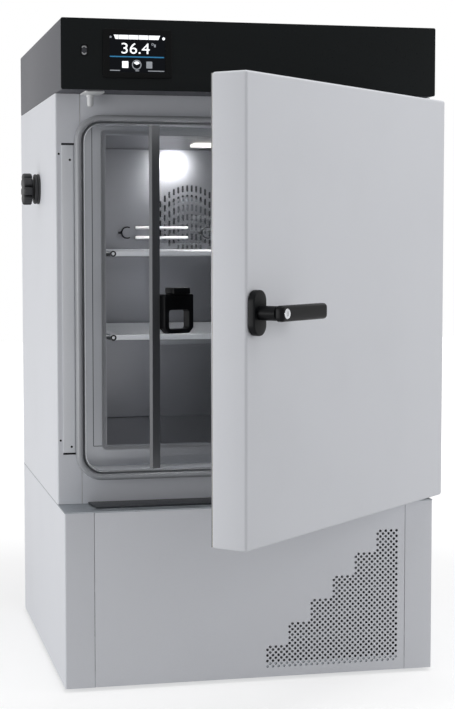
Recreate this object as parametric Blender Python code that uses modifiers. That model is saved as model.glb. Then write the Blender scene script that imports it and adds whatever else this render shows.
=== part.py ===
"""Refrigerated incubator: machine base, insulated cabinet, control box, outer door and inner glass door.

Metres, +Z up, front towards -Y. The origin is on the floor under the middle of the base casing.
Doors stand ajar at rest: their pieces are drawn closed and hang on turned empties.
"""
import math

import bmesh
import bpy
from mathutils import Matrix, Vector

# Fits
GAP = 0.0003  # between neighbouring pieces
SEAM = 0.0008  # shadow line between two panels
SHEET = 0.0015  # folded sheet metal
RUN = 0.0010  # around a turning shaft or pin
BITE = 0.0005  # how far welded pieces sink into each other

# Casing
WIDTH = 0.650
DEPTH = 0.640
FOOT_H = 0.006
FOOT_R = 0.018
FOOT_INSET = 0.045
FOOT_SUNK = 0.004  # into the tray
BASE_H = 0.300
CABINET_H = 0.703
CONTROL_H = 0.117
FRAME_SETBACK = 0.088  # door frame behind the base front
CONTROL_SETBACK = 0.005
BASE_FLANGE = 0.050
CABINET_FLANGE = 0.042
TRAY_WALL = 0.002
TRAY_H = 0.025

# Stepped ventilation field of the base front
VENT_SIDE = 0.240
VENT_STEPS = 6
VENT_PITCH = 0.020
VENT_HOLE_R = 0.0065
VENT_RIGHT = 0.013  # from the field to the panel's right edge
VENT_RISE = 0.014
REAR_SLOTS = 8
REAR_SLOT_W = 0.160
REAR_SLOT_H = 0.006
REAR_SLOT_PITCH = 0.016
REAR_SLOT_RISE = 0.120

# Chamber and throat
WALL_T = 0.095  # chamber to the cabinet's side
ROOF_T = 0.0655  # chamber to the cabinet's top
BACK_T = 0.058  # fan baffle to the cabinet's back
CHAMBER_RISE = 0.094  # chamber floor above the ledge
LIP_SIDE = 0.045  # width of the lip round the chamber's mouth
LIP_ABOVE = 0.015
LIP_BELOW = 0.0375
THROAT_R = 0.030
THROAT_D = 0.057
PLENUM = 0.028
GLASS_SEAL_W = 0.006
GLASS_SEAL_T = 0.006
GRILLE_R = 0.072
GRILLE_X = 0.010
GRILLE_RISE = 0.399  # fan axis above the chamber floor
GRILLE_PITCH = 0.016
GRILLE_SLOT = 0.008
LAMP_W = 0.066
LAMP_D = 0.050
LAMP_T = 0.006
LAMP_X = 0.005
LAMP_SETBACK = 0.225
PROBE_R = 0.003
PROBE_L = 0.117
PROBE_X = -0.131
PROBE_RISE = 0.375
PROBE_PITCH = 0.020
PROBE_STAND = 0.032
CLIP_W = 0.012

# Shelves
SHELF_SIDE_GAP = 0.0095
SHELF_SETBACK = 0.010
SHELF_REAR_GAP = 0.027
SHELF_LIP = 0.010
SHELF_RISES = {"lower_shelf": 0.194, "upper_shelf": 0.342}
SHELF_HOLE_R = 0.015
SHELF_HOLE_PITCH = 0.055
SHELF_TRAVEL = 0.012
RACK_T = 0.002
RACK_POST = 0.012
RACK_LEDGE = 0.020

# Gasket and fittings of the door frame
DOOR_GAP = 0.021  # door's inner face to the frame
GASKET_W = 0.015
GASKET_R = 0.045
GASKET_EDGE = 0.003  # gasket's inner edge beyond the throat
GASKET_ROUND = 0.005
KEEPER_GAP = 0.001  # to the gasket
KEEPER_T = 0.002
KEEPER_INSET = 0.0103
KEEPER_DROP = 0.0875
KEEPER_RISE = 0.090
DRIP_INSET = 0.003  # from the throat's side
DRIP_D = 0.0555
DRIP_T = 0.003
SENSOR_INSET = 0.059
SENSOR_W = 0.033
SENSOR_D = 0.064
SENSOR_T = 0.003
SENSOR_PIN_R = 0.0055
SENSOR_PIN_L = 0.020
PORT_Y = 0.009
PORT_DROP = 0.0895  # port axis below the chamber's top
PORT_BORE_R = 0.0125
PORT_TUBE_R = 0.0160
PORT_FLANGE_R = 0.0275
PORT_FLANGE_T = 0.004
PLUG_FLANGE_T = 0.0055
PLUG_NECK_R = 0.017
PLUG_NECK_L = 0.004
PLUG_KNOB_R = 0.029
PLUG_KNOB_L = 0.017
PLUG_STEM_L = 0.040

# Outer door
DOOR_T = 0.062
DOOR_TOP_GAP = 0.0057
DOOR_RISE = 0.004
DOOR_OPEN = math.radians(44.09)
HINGE_INSET = 0.010  # from the door's right edge
HINGE_BACK = 0.0208  # from the door's inner face
HINGE_PIN_R = 0.006
HINGE_PIN_L = 0.026
BRACKET_T = 0.003
BRACKET_W = 0.034
BRACKET_EDGE = 0.0005
BRACKET_FRONT = 0.016
HANDLE_INSET = 0.0185  # lever axis from the door's free edge
HANDLE_RISE = 0.347  # lever axis above the door's bottom
PLATE_W = 0.034
PLATE_H = 0.0666
PLATE_T = 0.012
PLATE_R = 0.016
SPINDLE_R = 0.0065
NECK_R = 0.0107
NECK_L = 0.0285
LEVER_L = 0.1185  # lever axis to tip
LEVER_H = 0.0234
LEVER_T = 0.016
CAM_H = 0.016
CAM_L = 0.021
CAM_T = 0.004
LOCK_R = 0.0075
LOCK_DEPTH = 0.008
LOCK_PROUD = 0.0012
KEY_SLOT_W = 0.0015
KEY_SLOT_H = 0.007

# Inner glass door
GLASS_OPEN = math.radians(27.0)
GLASS_LAP = 0.015  # past the chamber's side
GLASS_OVER = 0.0025
GLASS_DROP = 0.0115  # pane's bottom below the chamber floor
GLASS_T = 0.005
GLASS_PIVOT_INSET = 0.0045
FITTING_W = 0.017
FITTING_D = 0.0085
FITTING_H = 0.006
FITTING_PIN_R = 0.003
STRIP_EDGE = 0.002
STRIP_W = 0.0115
STRIP_T = 0.003
PULL_W = 0.0657
PULL_H = 0.0615
PULL_T = 0.016
PULL_EDGE = 0.0137
PULL_RISE = 0.2205  # above the pane's bottom
PULL_CHAMFER = 0.009
WINDOW_W = 0.0440
WINDOW_H = 0.0310
WINDOW_RISE = 0.0075
CAP_W = 0.039
CAP_H = 0.011
CAP_T = 0.024

# Control box
FASCIA_T = 0.003
DISPLAY_INSET = 0.1275  # from the casing's left side
DISPLAY_RISE = 0.0600
BEZEL_W = 0.116
BEZEL_H = 0.0805
BEZEL_T = 0.002
BEZEL_R = 0.004
SCREEN_W = 0.0940
SCREEN_H = 0.0615
SCREEN_T = 0.0080
SCREEN_SUNK = 0.0004
SOCKET_INSET = 0.039
SOCKET_RISE = 0.0645
SOCKET_W = 0.0125
SOCKET_H = 0.020
SOCKET_L = 0.015
SOCKET_PROUD = 0.0008
SOCKET_SLOT_W = 0.005
SOCKET_SLOT_H = 0.012
SOCKET_SLOT_L = 0.0105
BOARD_SIZE = (0.180, 0.100, 0.0016)
BOARD_STAND = 0.008
BOARD_AT = (-0.150, -0.150)
SUPPLY_SIZE = (0.160, 0.100, 0.045)
SUPPLY_AT = (0.150, 0.080)

# Cooling machine
COMPRESSOR_AT = (-0.140, 0.080)
CAN_R = 0.070
CAN_H = 0.150
CAN_SHOULDER = 0.0245
PLATE_SIZE = (0.200, 0.120, 0.003)
MOUNT_R = 0.011
MOUNT_H = 0.012
MOUNT_INSET = 0.018
COIL_INSET = 0.065  # from the casing's right side
COIL_W = 0.245
COIL_H = 0.240
COIL_D = 0.030
COIL_SETBACK = 0.020
COIL_HEADER = 0.012
COIL_PITCH = 0.0175
COIL_FIN = 0.005
SHROUD_D = 0.025
FAN_R = 0.084
FAN_TIP_GAP = 0.006
FAN_HUB_R = 0.022
FAN_L = 0.020
FAN_BLADES = 5
BLADE_T = 0.003
BLADE_W = 0.030
BLADE_TILT = math.radians(60)
MOTOR_R = 0.032
MOTOR_L = 0.050
MOTOR_NOSE_R = 0.006
MOTOR_GAP = 0.008
STRAP_W = 0.020
STRAP_T = 0.003
PIPE_R = 0.005
PIPE_X = -0.100
PIPE_CLEAR = 0.0025
PIPE_POINTS = 28
EVAPORATOR_W = 0.320
EVAPORATOR_H = 0.160
EVAPORATOR_D = 0.018
EVAPORATOR_RISE = 0.030
HEATER_R = 0.0035
HEATER_W = 0.240
HEATER_H = 0.060
HEATER_RISE = 0.220
ROTOR_R = 0.060
ROTOR_HUB_R = 0.018
ROTOR_L = 0.020
ROTOR_BLADES = 6
SHAFT_R = 0.004
STIR_MOTOR_R = 0.030
STIR_MOTOR_L = 0.032
COVER_W = 0.140
COVER_H = 0.140
COVER_D = 0.042
INLET_X = 0.220
INLET_RISE = 0.060
INLET_W = 0.048
INLET_H = 0.030
INLET_L = 0.028
INLET_WALL = 0.004
INLET_FLANGE = 0.005
INLET_FLANGE_T = 0.003
PRONG = (0.002, 0.014, 0.005)
PRONG_PITCH = 0.012

# Sizes that follow
CHAMBER_W = WIDTH - 2 * WALL_T
CHAMBER_H = CABINET_H - CHAMBER_RISE - ROOF_T
CHAMBER_D = DEPTH - FRAME_SETBACK - THROAT_D - BACK_T
THROAT_W = CHAMBER_W + 2 * LIP_SIDE
THROAT_H = CHAMBER_H + LIP_BELOW + LIP_ABOVE
THROAT_RISE = CHAMBER_RISE - LIP_BELOW
SHELF_W = CHAMBER_W - 2 * SHELF_SIDE_GAP
GASKET_OUTER = THROAT_W / 2 + GASKET_EDGE + GASKET_W
KEEPER_W = WIDTH / 2 - KEEPER_INSET - GASKET_OUTER - KEEPER_GAP
KEEPER_H = CABINET_H - KEEPER_RISE - KEEPER_DROP
DRIP_W = THROAT_W - 2 * DRIP_INSET
DOOR_H = CABINET_H - DOOR_RISE - DOOR_TOP_GAP
GLASS_W = CHAMBER_W + 2 * GLASS_LAP
GLASS_H = CHAMBER_H + GLASS_DROP + GLASS_OVER

# Levels and planes
SIDE_X = WIDTH / 2
FRONT_Y = -DEPTH / 2
BACK_Y = DEPTH / 2
BASE_Z = FOOT_H
LEDGE_Z = BASE_Z + BASE_H
CONTROL_Z = LEDGE_Z + CABINET_H
TOP_Z = CONTROL_Z + CONTROL_H
FRAME_Y = FRONT_Y + FRAME_SETBACK
CONTROL_Y = FRONT_Y + CONTROL_SETBACK
LIP_Y = FRAME_Y + THROAT_D
BAFFLE_Y = LIP_Y + CHAMBER_D
LINER_Y = BAFFLE_Y + SHEET + PLENUM
CHAMBER_Z = LEDGE_Z + CHAMBER_RISE
CHAMBER_TOP = CHAMBER_Z + CHAMBER_H
THROAT_Z = LEDGE_Z + THROAT_RISE
THROAT_MID = THROAT_Z + THROAT_H / 2
FAN_Z = CHAMBER_Z + GRILLE_RISE
DOOR_BACK = FRAME_Y - DOOR_GAP
DOOR_FRONT = DOOR_BACK - DOOR_T
DOOR_Z = LEDGE_Z + DOOR_RISE
DOOR_TOP = DOOR_Z + DOOR_H
HINGE_X = SIDE_X - HINGE_INSET
HINGE_Y = DOOR_BACK - HINGE_BACK
LEVER_X = -SIDE_X + HANDLE_INSET
SENSOR_X = -SIDE_X + SENSOR_INSET
DISPLAY_X = -SIDE_X + DISPLAY_INSET
SOCKET_X = -SIDE_X + SOCKET_INSET
LEVER_Z = DOOR_Z + HANDLE_RISE
SEAL_FRONT = LIP_Y - GAP - GLASS_SEAL_T
GLASS_Y = SEAL_FRONT - GAP - GLASS_T / 2
GLASS_HINGE_X = GLASS_W / 2 - GLASS_PIVOT_INSET
GLASS_Z = CHAMBER_Z - GLASS_DROP
GLASS_TOP = GLASS_Z + GLASS_H
PORT_Z = CHAMBER_TOP - PORT_DROP
TRAY_FLOOR = BASE_Z + TRAY_WALL + GAP
COIL_X = SIDE_X - COIL_INSET - COIL_W / 2
COIL_Y = FRONT_Y + COIL_SETBACK
SHROUD_Y = COIL_Y + COIL_D + GAP
SHROUD_BACK = SHROUD_Y + SHROUD_D
COIL_Z = TRAY_FLOOR + COIL_H / 2
PIPE_Y = BAFFLE_Y + SHEET + PLENUM / 2

PALETTE = {
    "white_paint": ((0.80, 0.82, 0.86), 0.45, 0.0),
    "grey_paint": ((0.42, 0.43, 0.46), 0.45, 0.0),
    "graphite_paint": ((0.145, 0.147, 0.158), 0.45, 0.0),
    "stainless": ((0.45, 0.46, 0.48), 0.30, 1.0),
    "black_panel": ((0.010, 0.013, 0.013), 0.25, 0.0),
    "black_plastic": ((0.020, 0.020, 0.022), 0.40, 0.0),
    "dark_rubber": ((0.060, 0.062, 0.066), 0.65, 0.0),
    "silicone": ((0.60, 0.60, 0.60), 0.50, 0.0),
    "white_plastic": ((0.85, 0.86, 0.88), 0.40, 0.0),
    "glass": ((0.70, 0.78, 0.76), 0.05, 0.0),
    "screen": ((0.010, 0.012, 0.018), 0.10, 0.0),
    "lamp": ((0.95, 0.96, 1.00), 0.30, 0.0),
    "foam": ((0.70, 0.62, 0.38), 0.90, 0.0),
    "copper": ((0.60, 0.28, 0.15), 0.35, 1.0),
    "black_enamel": ((0.025, 0.025, 0.027), 0.35, 0.0),
    "aluminium": ((0.60, 0.61, 0.62), 0.40, 1.0),
    "board": ((0.020, 0.120, 0.050), 0.50, 0.0),
}


def clear_scene():
    for obj in list(bpy.data.objects):
        bpy.data.objects.remove(obj, do_unlink=True)


def new_collection(name):
    collection = bpy.data.collections.new(name)
    bpy.context.scene.collection.children.link(collection)
    return collection


def material(name):
    found = bpy.data.materials.get(name)
    if found:
        return found
    colour, roughness, metallic = PALETTE[name]
    made = bpy.data.materials.new(name)
    made.use_nodes = True
    shader = made.node_tree.nodes["Principled BSDF"]
    shader.inputs["Base Color"].default_value = (*colour, 1.0)
    shader.inputs["Roughness"].default_value = roughness
    shader.inputs["Metallic"].default_value = metallic
    return made


def link(name, mesh, location=(0, 0, 0), finish=None):
    """An object of this mesh: a piece when it has a finish, and a cutter otherwise."""
    obj = bpy.data.objects.new(name, mesh)
    obj.location = location
    if finish:
        PARTS.objects.link(obj)
        obj.data.materials.append(material(finish))
        obj.data.shade_smooth()
        obj.data.set_sharp_from_angle(angle=math.radians(35))
        return obj
    CUTTERS.objects.link(obj)
    obj.hide_render = True
    obj.display_type = "WIRE"
    return obj


def mesh_from(build):
    mesh = bpy.data.meshes.new("shape")
    shape = bmesh.new()
    build(shape)
    bmesh.ops.recalc_face_normals(shape, faces=shape.faces)
    shape.to_mesh(mesh)
    shape.free()
    return mesh


def box(name, low, high, finish=None, rounded=0.0):
    low, high = Vector(low), Vector(high)
    size = high - low

    def build(shape):
        bmesh.ops.create_cube(shape, size=1.0)
        bmesh.ops.scale(shape, vec=size, verts=shape.verts)

    obj = link(name, mesh_from(build), (low + high) / 2, finish)
    if rounded:
        round_edges(obj, rounded)
    return obj


def round_edges(obj, width, segments=2):
    bevel = obj.modifiers.new("rounded edges", "BEVEL")
    bevel.width = width
    bevel.segments = segments
    bevel.limit_method = "ANGLE"


ALONG = {
    "x": Matrix.Rotation(math.pi / 2, 4, "Y"),
    "y": Matrix.Rotation(-math.pi / 2, 4, "X"),
    "z": Matrix.Identity(4),
}


def rod(name, start, length, radius, axis, finish=None, sides=16, turn=0.0):
    """A round bar from start along an axis."""

    def build(shape):
        bmesh.ops.create_cone(
            shape, cap_ends=True, segments=sides, radius1=radius, radius2=radius, depth=length
        )
        bmesh.ops.translate(shape, vec=(0, 0, length / 2), verts=shape.verts)
        bmesh.ops.rotate(shape, matrix=Matrix.Rotation(turn, 3, "Z"), verts=shape.verts)
        bmesh.ops.transform(shape, matrix=ALONG[axis], verts=shape.verts)

    return link(name, mesh_from(build), start, finish)


def cut(obj, cutter, operation="DIFFERENCE"):
    modifier = obj.modifiers.new(cutter.name, "BOOLEAN")
    modifier.operation = operation
    modifier.object = cutter
    modifier.solver = "EXACT"
    return obj


def weld(obj, *others):
    for other in others:
        cut(obj, other, "UNION")
    return obj


OPEN_SIDES = {"+y": (0, 1, 0), "-y": (0, -1, 0), "+z": (0, 0, 1)}


def open_box(name, low, high, wall, side, finish=None):
    """A folded shell with one side open; low and high are its outer corners."""
    low, high = Vector(low), Vector(high)
    away = Vector(OPEN_SIDES[side])

    def build(shape):
        bmesh.ops.create_cube(shape, size=1.0)
        bmesh.ops.scale(shape, vec=high - low, verts=shape.verts)
        lid = [face for face in shape.faces if face.normal.dot(away) > 0.9]
        bmesh.ops.delete(shape, geom=lid, context="FACES_ONLY")

    mesh = mesh_from(build)
    obj = link(name, mesh, (low + high) / 2, finish)
    solidify(obj, wall, outward=mesh.polygons[0].normal.dot(mesh.polygons[0].center) > 0)
    return obj


def solidify(obj, wall, outward=True):
    modifier = obj.modifiers.new("wall", "SOLIDIFY")
    modifier.thickness = wall
    modifier.offset = -1.0 if outward else 1.0
    modifier.use_even_offset = True


def folded(name, points, start, length, axis, wall, finish):
    """Sheet folded along an open outline and extruded along an axis; its outside is on the left."""
    run = {"z": Vector((0, 0, 1)), "x": Vector((1, 0, 0))}[axis]
    corners = [Vector(p) for p in points]

    def build(shape):
        low = [shape.verts.new(p + run * start) for p in corners]
        high = [shape.verts.new(p + run * (start + length)) for p in corners]
        for i in range(len(corners) - 1):
            shape.faces.new((low[i], high[i], high[i + 1], low[i + 1]))

    mesh = bpy.data.meshes.new("shape")
    shape = bmesh.new()
    build(shape)
    shape.to_mesh(mesh)
    shape.free()
    obj = link(name, mesh, finish=finish)
    solidify(obj, wall)
    return obj


def turned(name, profile, location, axis, finish, steps=20):
    """A solid of revolution; the profile runs from the axis at the top to the axis at the bottom."""
    mesh = bpy.data.meshes.new("profile")
    points = [(radius, 0.0, height) for radius, height in profile]
    mesh.from_pydata(points, [(i, i + 1) for i in range(len(points) - 1)], [])
    obj = link(name, mesh, location, finish)
    screw = obj.modifiers.new("turned", "SCREW")
    screw.steps = screw.render_steps = steps
    screw.use_merge_vertices = True
    screw.merge_threshold = 0.0001
    obj.rotation_euler = ALONG[axis].to_euler()
    return obj


def rounded_rectangle(width, height, radius, steps=5):
    points = []
    for quarter, (sx, sy) in enumerate(((1, 1), (-1, 1), (-1, -1), (1, -1))):
        centre = Vector((sx * (width / 2 - radius), sy * (height / 2 - radius)))
        for step in range(steps + 1):
            angle = (quarter + step / steps) * math.pi / 2
            points.append(centre + radius * Vector((math.cos(angle), math.sin(angle))))
    return points


def rectangle(width, height):
    x, y = width / 2, height / 2
    return [Vector((x, y)), Vector((-x, y)), Vector((-x, -y)), Vector((x, -y))]


def outline(name, loops, thickness, centre, finish=None):
    """A flat plate facing the front, cut from closed outlines; later outlines are its holes."""
    curve = bpy.data.curves.new(name, "CURVE")
    curve.dimensions = "2D"
    curve.fill_mode = "BOTH"
    curve.extrude = thickness / 2
    for loop in loops:
        spline = curve.splines.new("POLY")
        spline.points.add(len(loop) - 1)
        for point, (x, y) in zip(spline.points, loop):
            point.co = (x, y, 0, 1)
        spline.use_cyclic_u = True
    flat = bpy.data.objects.new(name, curve)
    PARTS.objects.link(flat)
    flat.rotation_euler = (math.pi / 2, 0, 0)
    mesh = mesh_of_curve(flat)
    return link(name, mesh, centre, finish)


def mesh_of_curve(curve_object):
    """The curve's evaluated mesh, welded and upright; the curve is removed."""
    bpy.context.view_layer.update()
    evaluated = curve_object.evaluated_get(bpy.context.evaluated_depsgraph_get())
    mesh = bpy.data.meshes.new_from_object(evaluated)
    mesh.transform(curve_object.matrix_world)
    bpy.data.objects.remove(curve_object)
    shape = bmesh.new()
    shape.from_mesh(mesh)
    bmesh.ops.remove_doubles(shape, verts=shape.verts, dist=0.00001)
    bmesh.ops.recalc_face_normals(shape, faces=shape.faces)
    shape.to_mesh(mesh)
    shape.free()
    mesh.materials.clear()
    return mesh


def tube(name, points, radius, finish):
    curve = bpy.data.curves.new(name, "CURVE")
    curve.dimensions = "3D"
    curve.bevel_depth = radius
    curve.bevel_resolution = 2
    curve.use_fill_caps = True
    spline = curve.splines.new("POLY")
    spline.points.add(len(points) - 1)
    for point, place in zip(spline.points, points):
        point.co = (*place, 1)
    obj = bpy.data.objects.new(name, curve)
    PARTS.objects.link(obj)
    curve.materials.append(material(finish))
    return obj


def smooth_route(route, count):
    """Evenly stepped points on a Catmull-Rom curve through the route."""
    route = [Vector(p) for p in route]
    ends = [2 * route[0] - route[1], *route, 2 * route[-1] - route[-2]]
    points = []
    for i in range(count):
        place = i / (count - 1) * (len(route) - 1)
        k = min(int(place), len(route) - 2)
        t = place - k
        a, b, c, d = ends[k : k + 4]
        points.append(
            0.5 * (2 * b + (c - a) * t + (2 * a - 5 * b + 4 * c - d) * t**2
                   + (3 * b - a - 3 * c + d) * t**3)
        )
    return points


def grid(count, pitch):
    """Offsets of evenly spaced copies about the middle."""
    return [(i - (count - 1) / 2) * pitch for i in range(count)]


def many(name, shapes):
    """One cutter holding several separate cutters' meshes."""
    mesh = bpy.data.meshes.new(name)
    merged = bmesh.new()
    for shape in shapes:
        shape.data.transform(Matrix.Translation(shape.location))
        merged.from_mesh(shape.data)
        bpy.data.objects.remove(shape)
    merged.to_mesh(mesh)
    merged.free()
    return link(name, mesh)


def empty(name, location, turn=0.0, parent=None):
    obj = bpy.data.objects.new(name, None)
    PARTS.objects.link(obj)
    obj.empty_display_size = 0.03
    obj.location = location
    obj["closed_at"] = tuple(location)
    if parent:
        hang(parent, obj)
    obj.rotation_euler = (0, 0, turn)
    return obj


def hang(axis, *pieces):
    """Pieces drawn in the closed position follow the empty on their axis."""
    for piece in pieces:
        piece.location = Vector(piece.location) - Vector(axis["closed_at"])
        piece.parent = axis


def make_base():
    flange_x = SIDE_X - BASE_FLANGE
    deck_z = LEDGE_Z - SHEET
    casing = folded(
        "base_casing",
        [(-flange_x, FRONT_Y, 0), (-SIDE_X, FRONT_Y, 0), (-SIDE_X, BACK_Y, 0),
         (SIDE_X, BACK_Y, 0), (SIDE_X, FRONT_Y, 0), (flange_x, FRONT_Y, 0)],
        BASE_Z, deck_z - GAP - BASE_Z, "z", SHEET, "white_paint",
    )
    slot_x = REAR_SLOT_W / 2
    slots = [
        box("slot", (-slot_x, BACK_Y - SHEET * 2, z), (slot_x, BACK_Y + SHEET, z + REAR_SLOT_H))
        for z in [BASE_Z + REAR_SLOT_RISE + i * REAR_SLOT_PITCH for i in range(REAR_SLOTS)]
    ]
    cut(casing, many("rear_vent_cutter", slots))
    inlet_z = BASE_Z + INLET_RISE
    room = INLET_W / 2 + GAP, INLET_H / 2 + GAP
    cut(casing, box("inlet_cutter", (INLET_X - room[0], BACK_Y - SHEET * 2, inlet_z - room[1]),
                    (INLET_X + room[0], BACK_Y + SHEET, inlet_z + room[1])))

    panel_x = flange_x - SEAM
    panel = box("base_front_panel", (-panel_x, FRONT_Y, BASE_Z),
                (panel_x, FRONT_Y + SHEET, deck_z - GAP), "white_paint")
    cut(panel, many("vent_cutter", vent_holes(panel_x - VENT_RIGHT)))

    deck = box("base_deck", (-SIDE_X, FRONT_Y, deck_z), (SIDE_X, BACK_Y, LEDGE_Z), "white_paint")
    cut(deck, pipe_bore("deck_bore", deck_z - SHEET, SHEET * 3))

    inner = SHEET + GAP
    tray = open_box("base_tray", (-SIDE_X + inner, FRONT_Y + inner, BASE_Z),
                    (SIDE_X - inner, BACK_Y - inner, BASE_Z + TRAY_H), TRAY_WALL, "+z", "grey_paint")
    holes = []
    for side, sx in (("left", -1), ("right", 1)):
        for end, sy in (("front", -1), ("rear", 1)):
            x, y = sx * (SIDE_X - FOOT_INSET), sy * (BACK_Y - FOOT_INSET)
            rod(f"foot_{end}_{side}", (x, y, 0), FOOT_H + FOOT_SUNK, FOOT_R, "z", "dark_rubber")
            holes.append(rod("foot_hole", (x, y, 0), BASE_Z + TRAY_H, FOOT_R + GAP, "z"))
    cut(tray, many("foot_cutter", holes))

    body = box("power_inlet", (INLET_X - INLET_W / 2, BACK_Y - INLET_L, inlet_z - INLET_H / 2),
               (INLET_X + INLET_W / 2, BACK_Y + GAP + BITE, inlet_z + INLET_H / 2), "black_plastic")
    rim = INLET_W / 2 + INLET_FLANGE, INLET_H / 2 + INLET_FLANGE
    weld(body, box("inlet_flange", (INLET_X - rim[0], BACK_Y + GAP, inlet_z - rim[1]),
                   (INLET_X + rim[0], BACK_Y + GAP + INLET_FLANGE_T, inlet_z + rim[1])))
    recess_y = BACK_Y - INLET_L + INLET_WALL
    hollow = INLET_W / 2 - INLET_WALL, INLET_H / 2 - INLET_WALL
    cut(body, box("inlet_recess", (INLET_X - hollow[0], recess_y, inlet_z - hollow[1]),
                  (INLET_X + hollow[0], BACK_Y + INLET_L, inlet_z + hollow[1])))
    prongs = [
        box("prong", (INLET_X + x - PRONG[0] / 2, recess_y - BITE, inlet_z - PRONG[2] / 2),
            (INLET_X + x + PRONG[0] / 2, recess_y + PRONG[1], inlet_z + PRONG[2] / 2))
        for x in grid(3, PRONG_PITCH)
    ]
    weld(body, many("inlet_prongs", prongs))


def vent_holes(right_x):
    """Square holes on their corners, in steps that rise towards the right."""
    count = round(VENT_SIDE / VENT_PITCH)
    per_step = count / VENT_STEPS
    holes = []
    for column in range(count):
        rows = int((column // per_step + 1) * per_step)
        x = right_x - (count - column) * VENT_PITCH + VENT_PITCH / 2
        for row in range(rows):
            z = BASE_Z + VENT_RISE + row * VENT_PITCH + VENT_PITCH / 2
            holes.append(rod("hole", (x, FRONT_Y - SHEET, z), SHEET * 3, VENT_HOLE_R, "y", sides=4))
    return holes


def pipe_bore(name, z, length):
    return rod(name, (PIPE_X, PIPE_Y, z), length, PIPE_R + PIPE_CLEAR, "z")


def make_cooling_machine():
    x, y = COMPRESSOR_AT
    plate_z = TRAY_FLOOR + MOUNT_H
    can_z = plate_z + PLATE_SIZE[2]
    inner_r, shoulder_z = CAN_R - CAN_SHOULDER, CAN_H - CAN_SHOULDER
    dome = [
        (inner_r + CAN_SHOULDER * math.sin(a), shoulder_z + CAN_SHOULDER * math.cos(a))
        for a in [i / 5 * math.pi / 2 for i in range(6)]
    ]
    compressor = turned(
        "compressor", [(0, CAN_H), *dome, (CAN_R, 0), (0, 0)], (x, y, can_z - BITE), "z", "black_enamel"
    )
    half = PLATE_SIZE[0] / 2, PLATE_SIZE[1] / 2
    weld(compressor, box("compressor_plate", (x - half[0], y - half[1], plate_z),
                         (x + half[0], y + half[1], can_z)))
    mounts = [
        rod("mount", (x + sx * (half[0] - MOUNT_INSET), y + sy * (half[1] - MOUNT_INSET), TRAY_FLOOR),
            MOUNT_H + BITE, MOUNT_R, "z")
        for sx in (-1, 1) for sy in (-1, 1)
    ]
    weld(compressor, many("compressor_mounts", mounts))

    left, right = COIL_X - COIL_W / 2, COIL_X + COIL_W / 2
    top = TRAY_FLOOR + COIL_H
    condenser = box("condenser", (left, COIL_Y, TRAY_FLOOR), (right, COIL_Y + COIL_D, top), "aluminium")
    half_slot = (COIL_PITCH - COIL_FIN) / 2
    fin_slots = [
        box("fin_slot", (x - half_slot, COIL_Y - COIL_D, TRAY_FLOOR + COIL_HEADER),
            (x + half_slot, COIL_Y + COIL_D * 2, top - COIL_HEADER))
        for x in [COIL_X + dx for dx in grid(int((COIL_W - COIL_FIN) / COIL_PITCH), COIL_PITCH)]
    ]
    cut(condenser, many("condenser_fin_cutter", fin_slots))

    shroud = open_box("fan_shroud", (left, SHROUD_Y, TRAY_FLOOR), (right, SHROUD_BACK, top), SHEET,
                      "-y", "black_enamel")
    cut(shroud, rod("shroud_cutter", (COIL_X, SHROUD_BACK - SHEET * 2, COIL_Z), SHEET * 3,
                    FAN_R + FAN_TIP_GAP, "y", sides=32))

    fan_y = SHROUD_BACK - FAN_L / 2
    axis = empty("condenser_fan_axis", (COIL_X, fan_y, COIL_Z))
    hub = (COIL_X, fan_y, COIL_Z)
    hang(axis, fan("condenser_fan", hub, FAN_R, FAN_HUB_R, FAN_L, FAN_BLADES, BLADE_TILT))

    hub_back = fan_y + FAN_L / 2
    motor_y = hub_back + MOTOR_GAP
    motor = rod("condenser_fan_motor", (COIL_X, motor_y, COIL_Z), MOTOR_L, MOTOR_R, "y", "black_enamel")
    weld(motor, rod("motor_nose", (COIL_X, hub_back + GAP, COIL_Z), MOTOR_GAP, MOTOR_NOSE_R, "y"))
    strap_z = COIL_Z - STRAP_W / 2, COIL_Z + STRAP_W / 2
    strap_y = motor_y + STRAP_T
    weld(motor, box("motor_strap", (left, strap_y, strap_z[0]), (right, strap_y + STRAP_T, strap_z[1])))
    legs = [
        box("leg", (min(a, b), SHROUD_BACK + GAP, strap_z[0]), (max(a, b), strap_y + BITE, strap_z[1]))
        for a, b in ((left, left + STRAP_T), (right, right - STRAP_T))
    ]
    weld(motor, many("motor_legs", legs))

    evaporator_z = CHAMBER_Z + EVAPORATOR_RISE
    can_top = can_z - BITE + CAN_H
    route = [
        (x, y, can_top + GAP), (x, y, can_top + 2 * PIPE_R), (x, y, can_top + 4 * PIPE_R),
        (x + PIPE_R * 2, y + PIPE_R * 6, can_top + 8 * PIPE_R),
        (PIPE_X, PIPE_Y - PIPE_R * 5, can_top + 10 * PIPE_R), (PIPE_X, PIPE_Y, can_top + 15 * PIPE_R),
        (PIPE_X, PIPE_Y, LEDGE_Z), (PIPE_X, PIPE_Y, evaporator_z - GAP),
    ]
    tube("suction_pipe", smooth_route(route, PIPE_POINTS), PIPE_R, "copper")


def fan(name, centre, radius, hub, length, blades, tilt):
    """A bladed wheel about the front-to-back axis."""
    wheel = rod(name, (centre[0], centre[1] - length / 2, centre[2]), length, hub, "y", "black_plastic")
    width = (length - 2 * BITE - BLADE_T * math.sin(tilt)) / math.cos(tilt)
    width = min(width, BLADE_W)
    pieces = []
    for i in range(blades):
        blade = box("blade", (0, -width / 2, -BLADE_T / 2), (radius - hub / 2, width / 2, BLADE_T / 2))
        blade.data.transform(Matrix.Rotation(tilt, 4, "X"))
        blade.data.transform(Matrix.Translation((hub / 2 + (radius - hub / 2) / 2, 0, 0)))
        blade.data.transform(Matrix.Rotation(math.tau * i / blades, 4, "Y"))
        blade.location = centre
        pieces.append(blade)
    return weld(wheel, many(f"{name}_blades", pieces))


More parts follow.
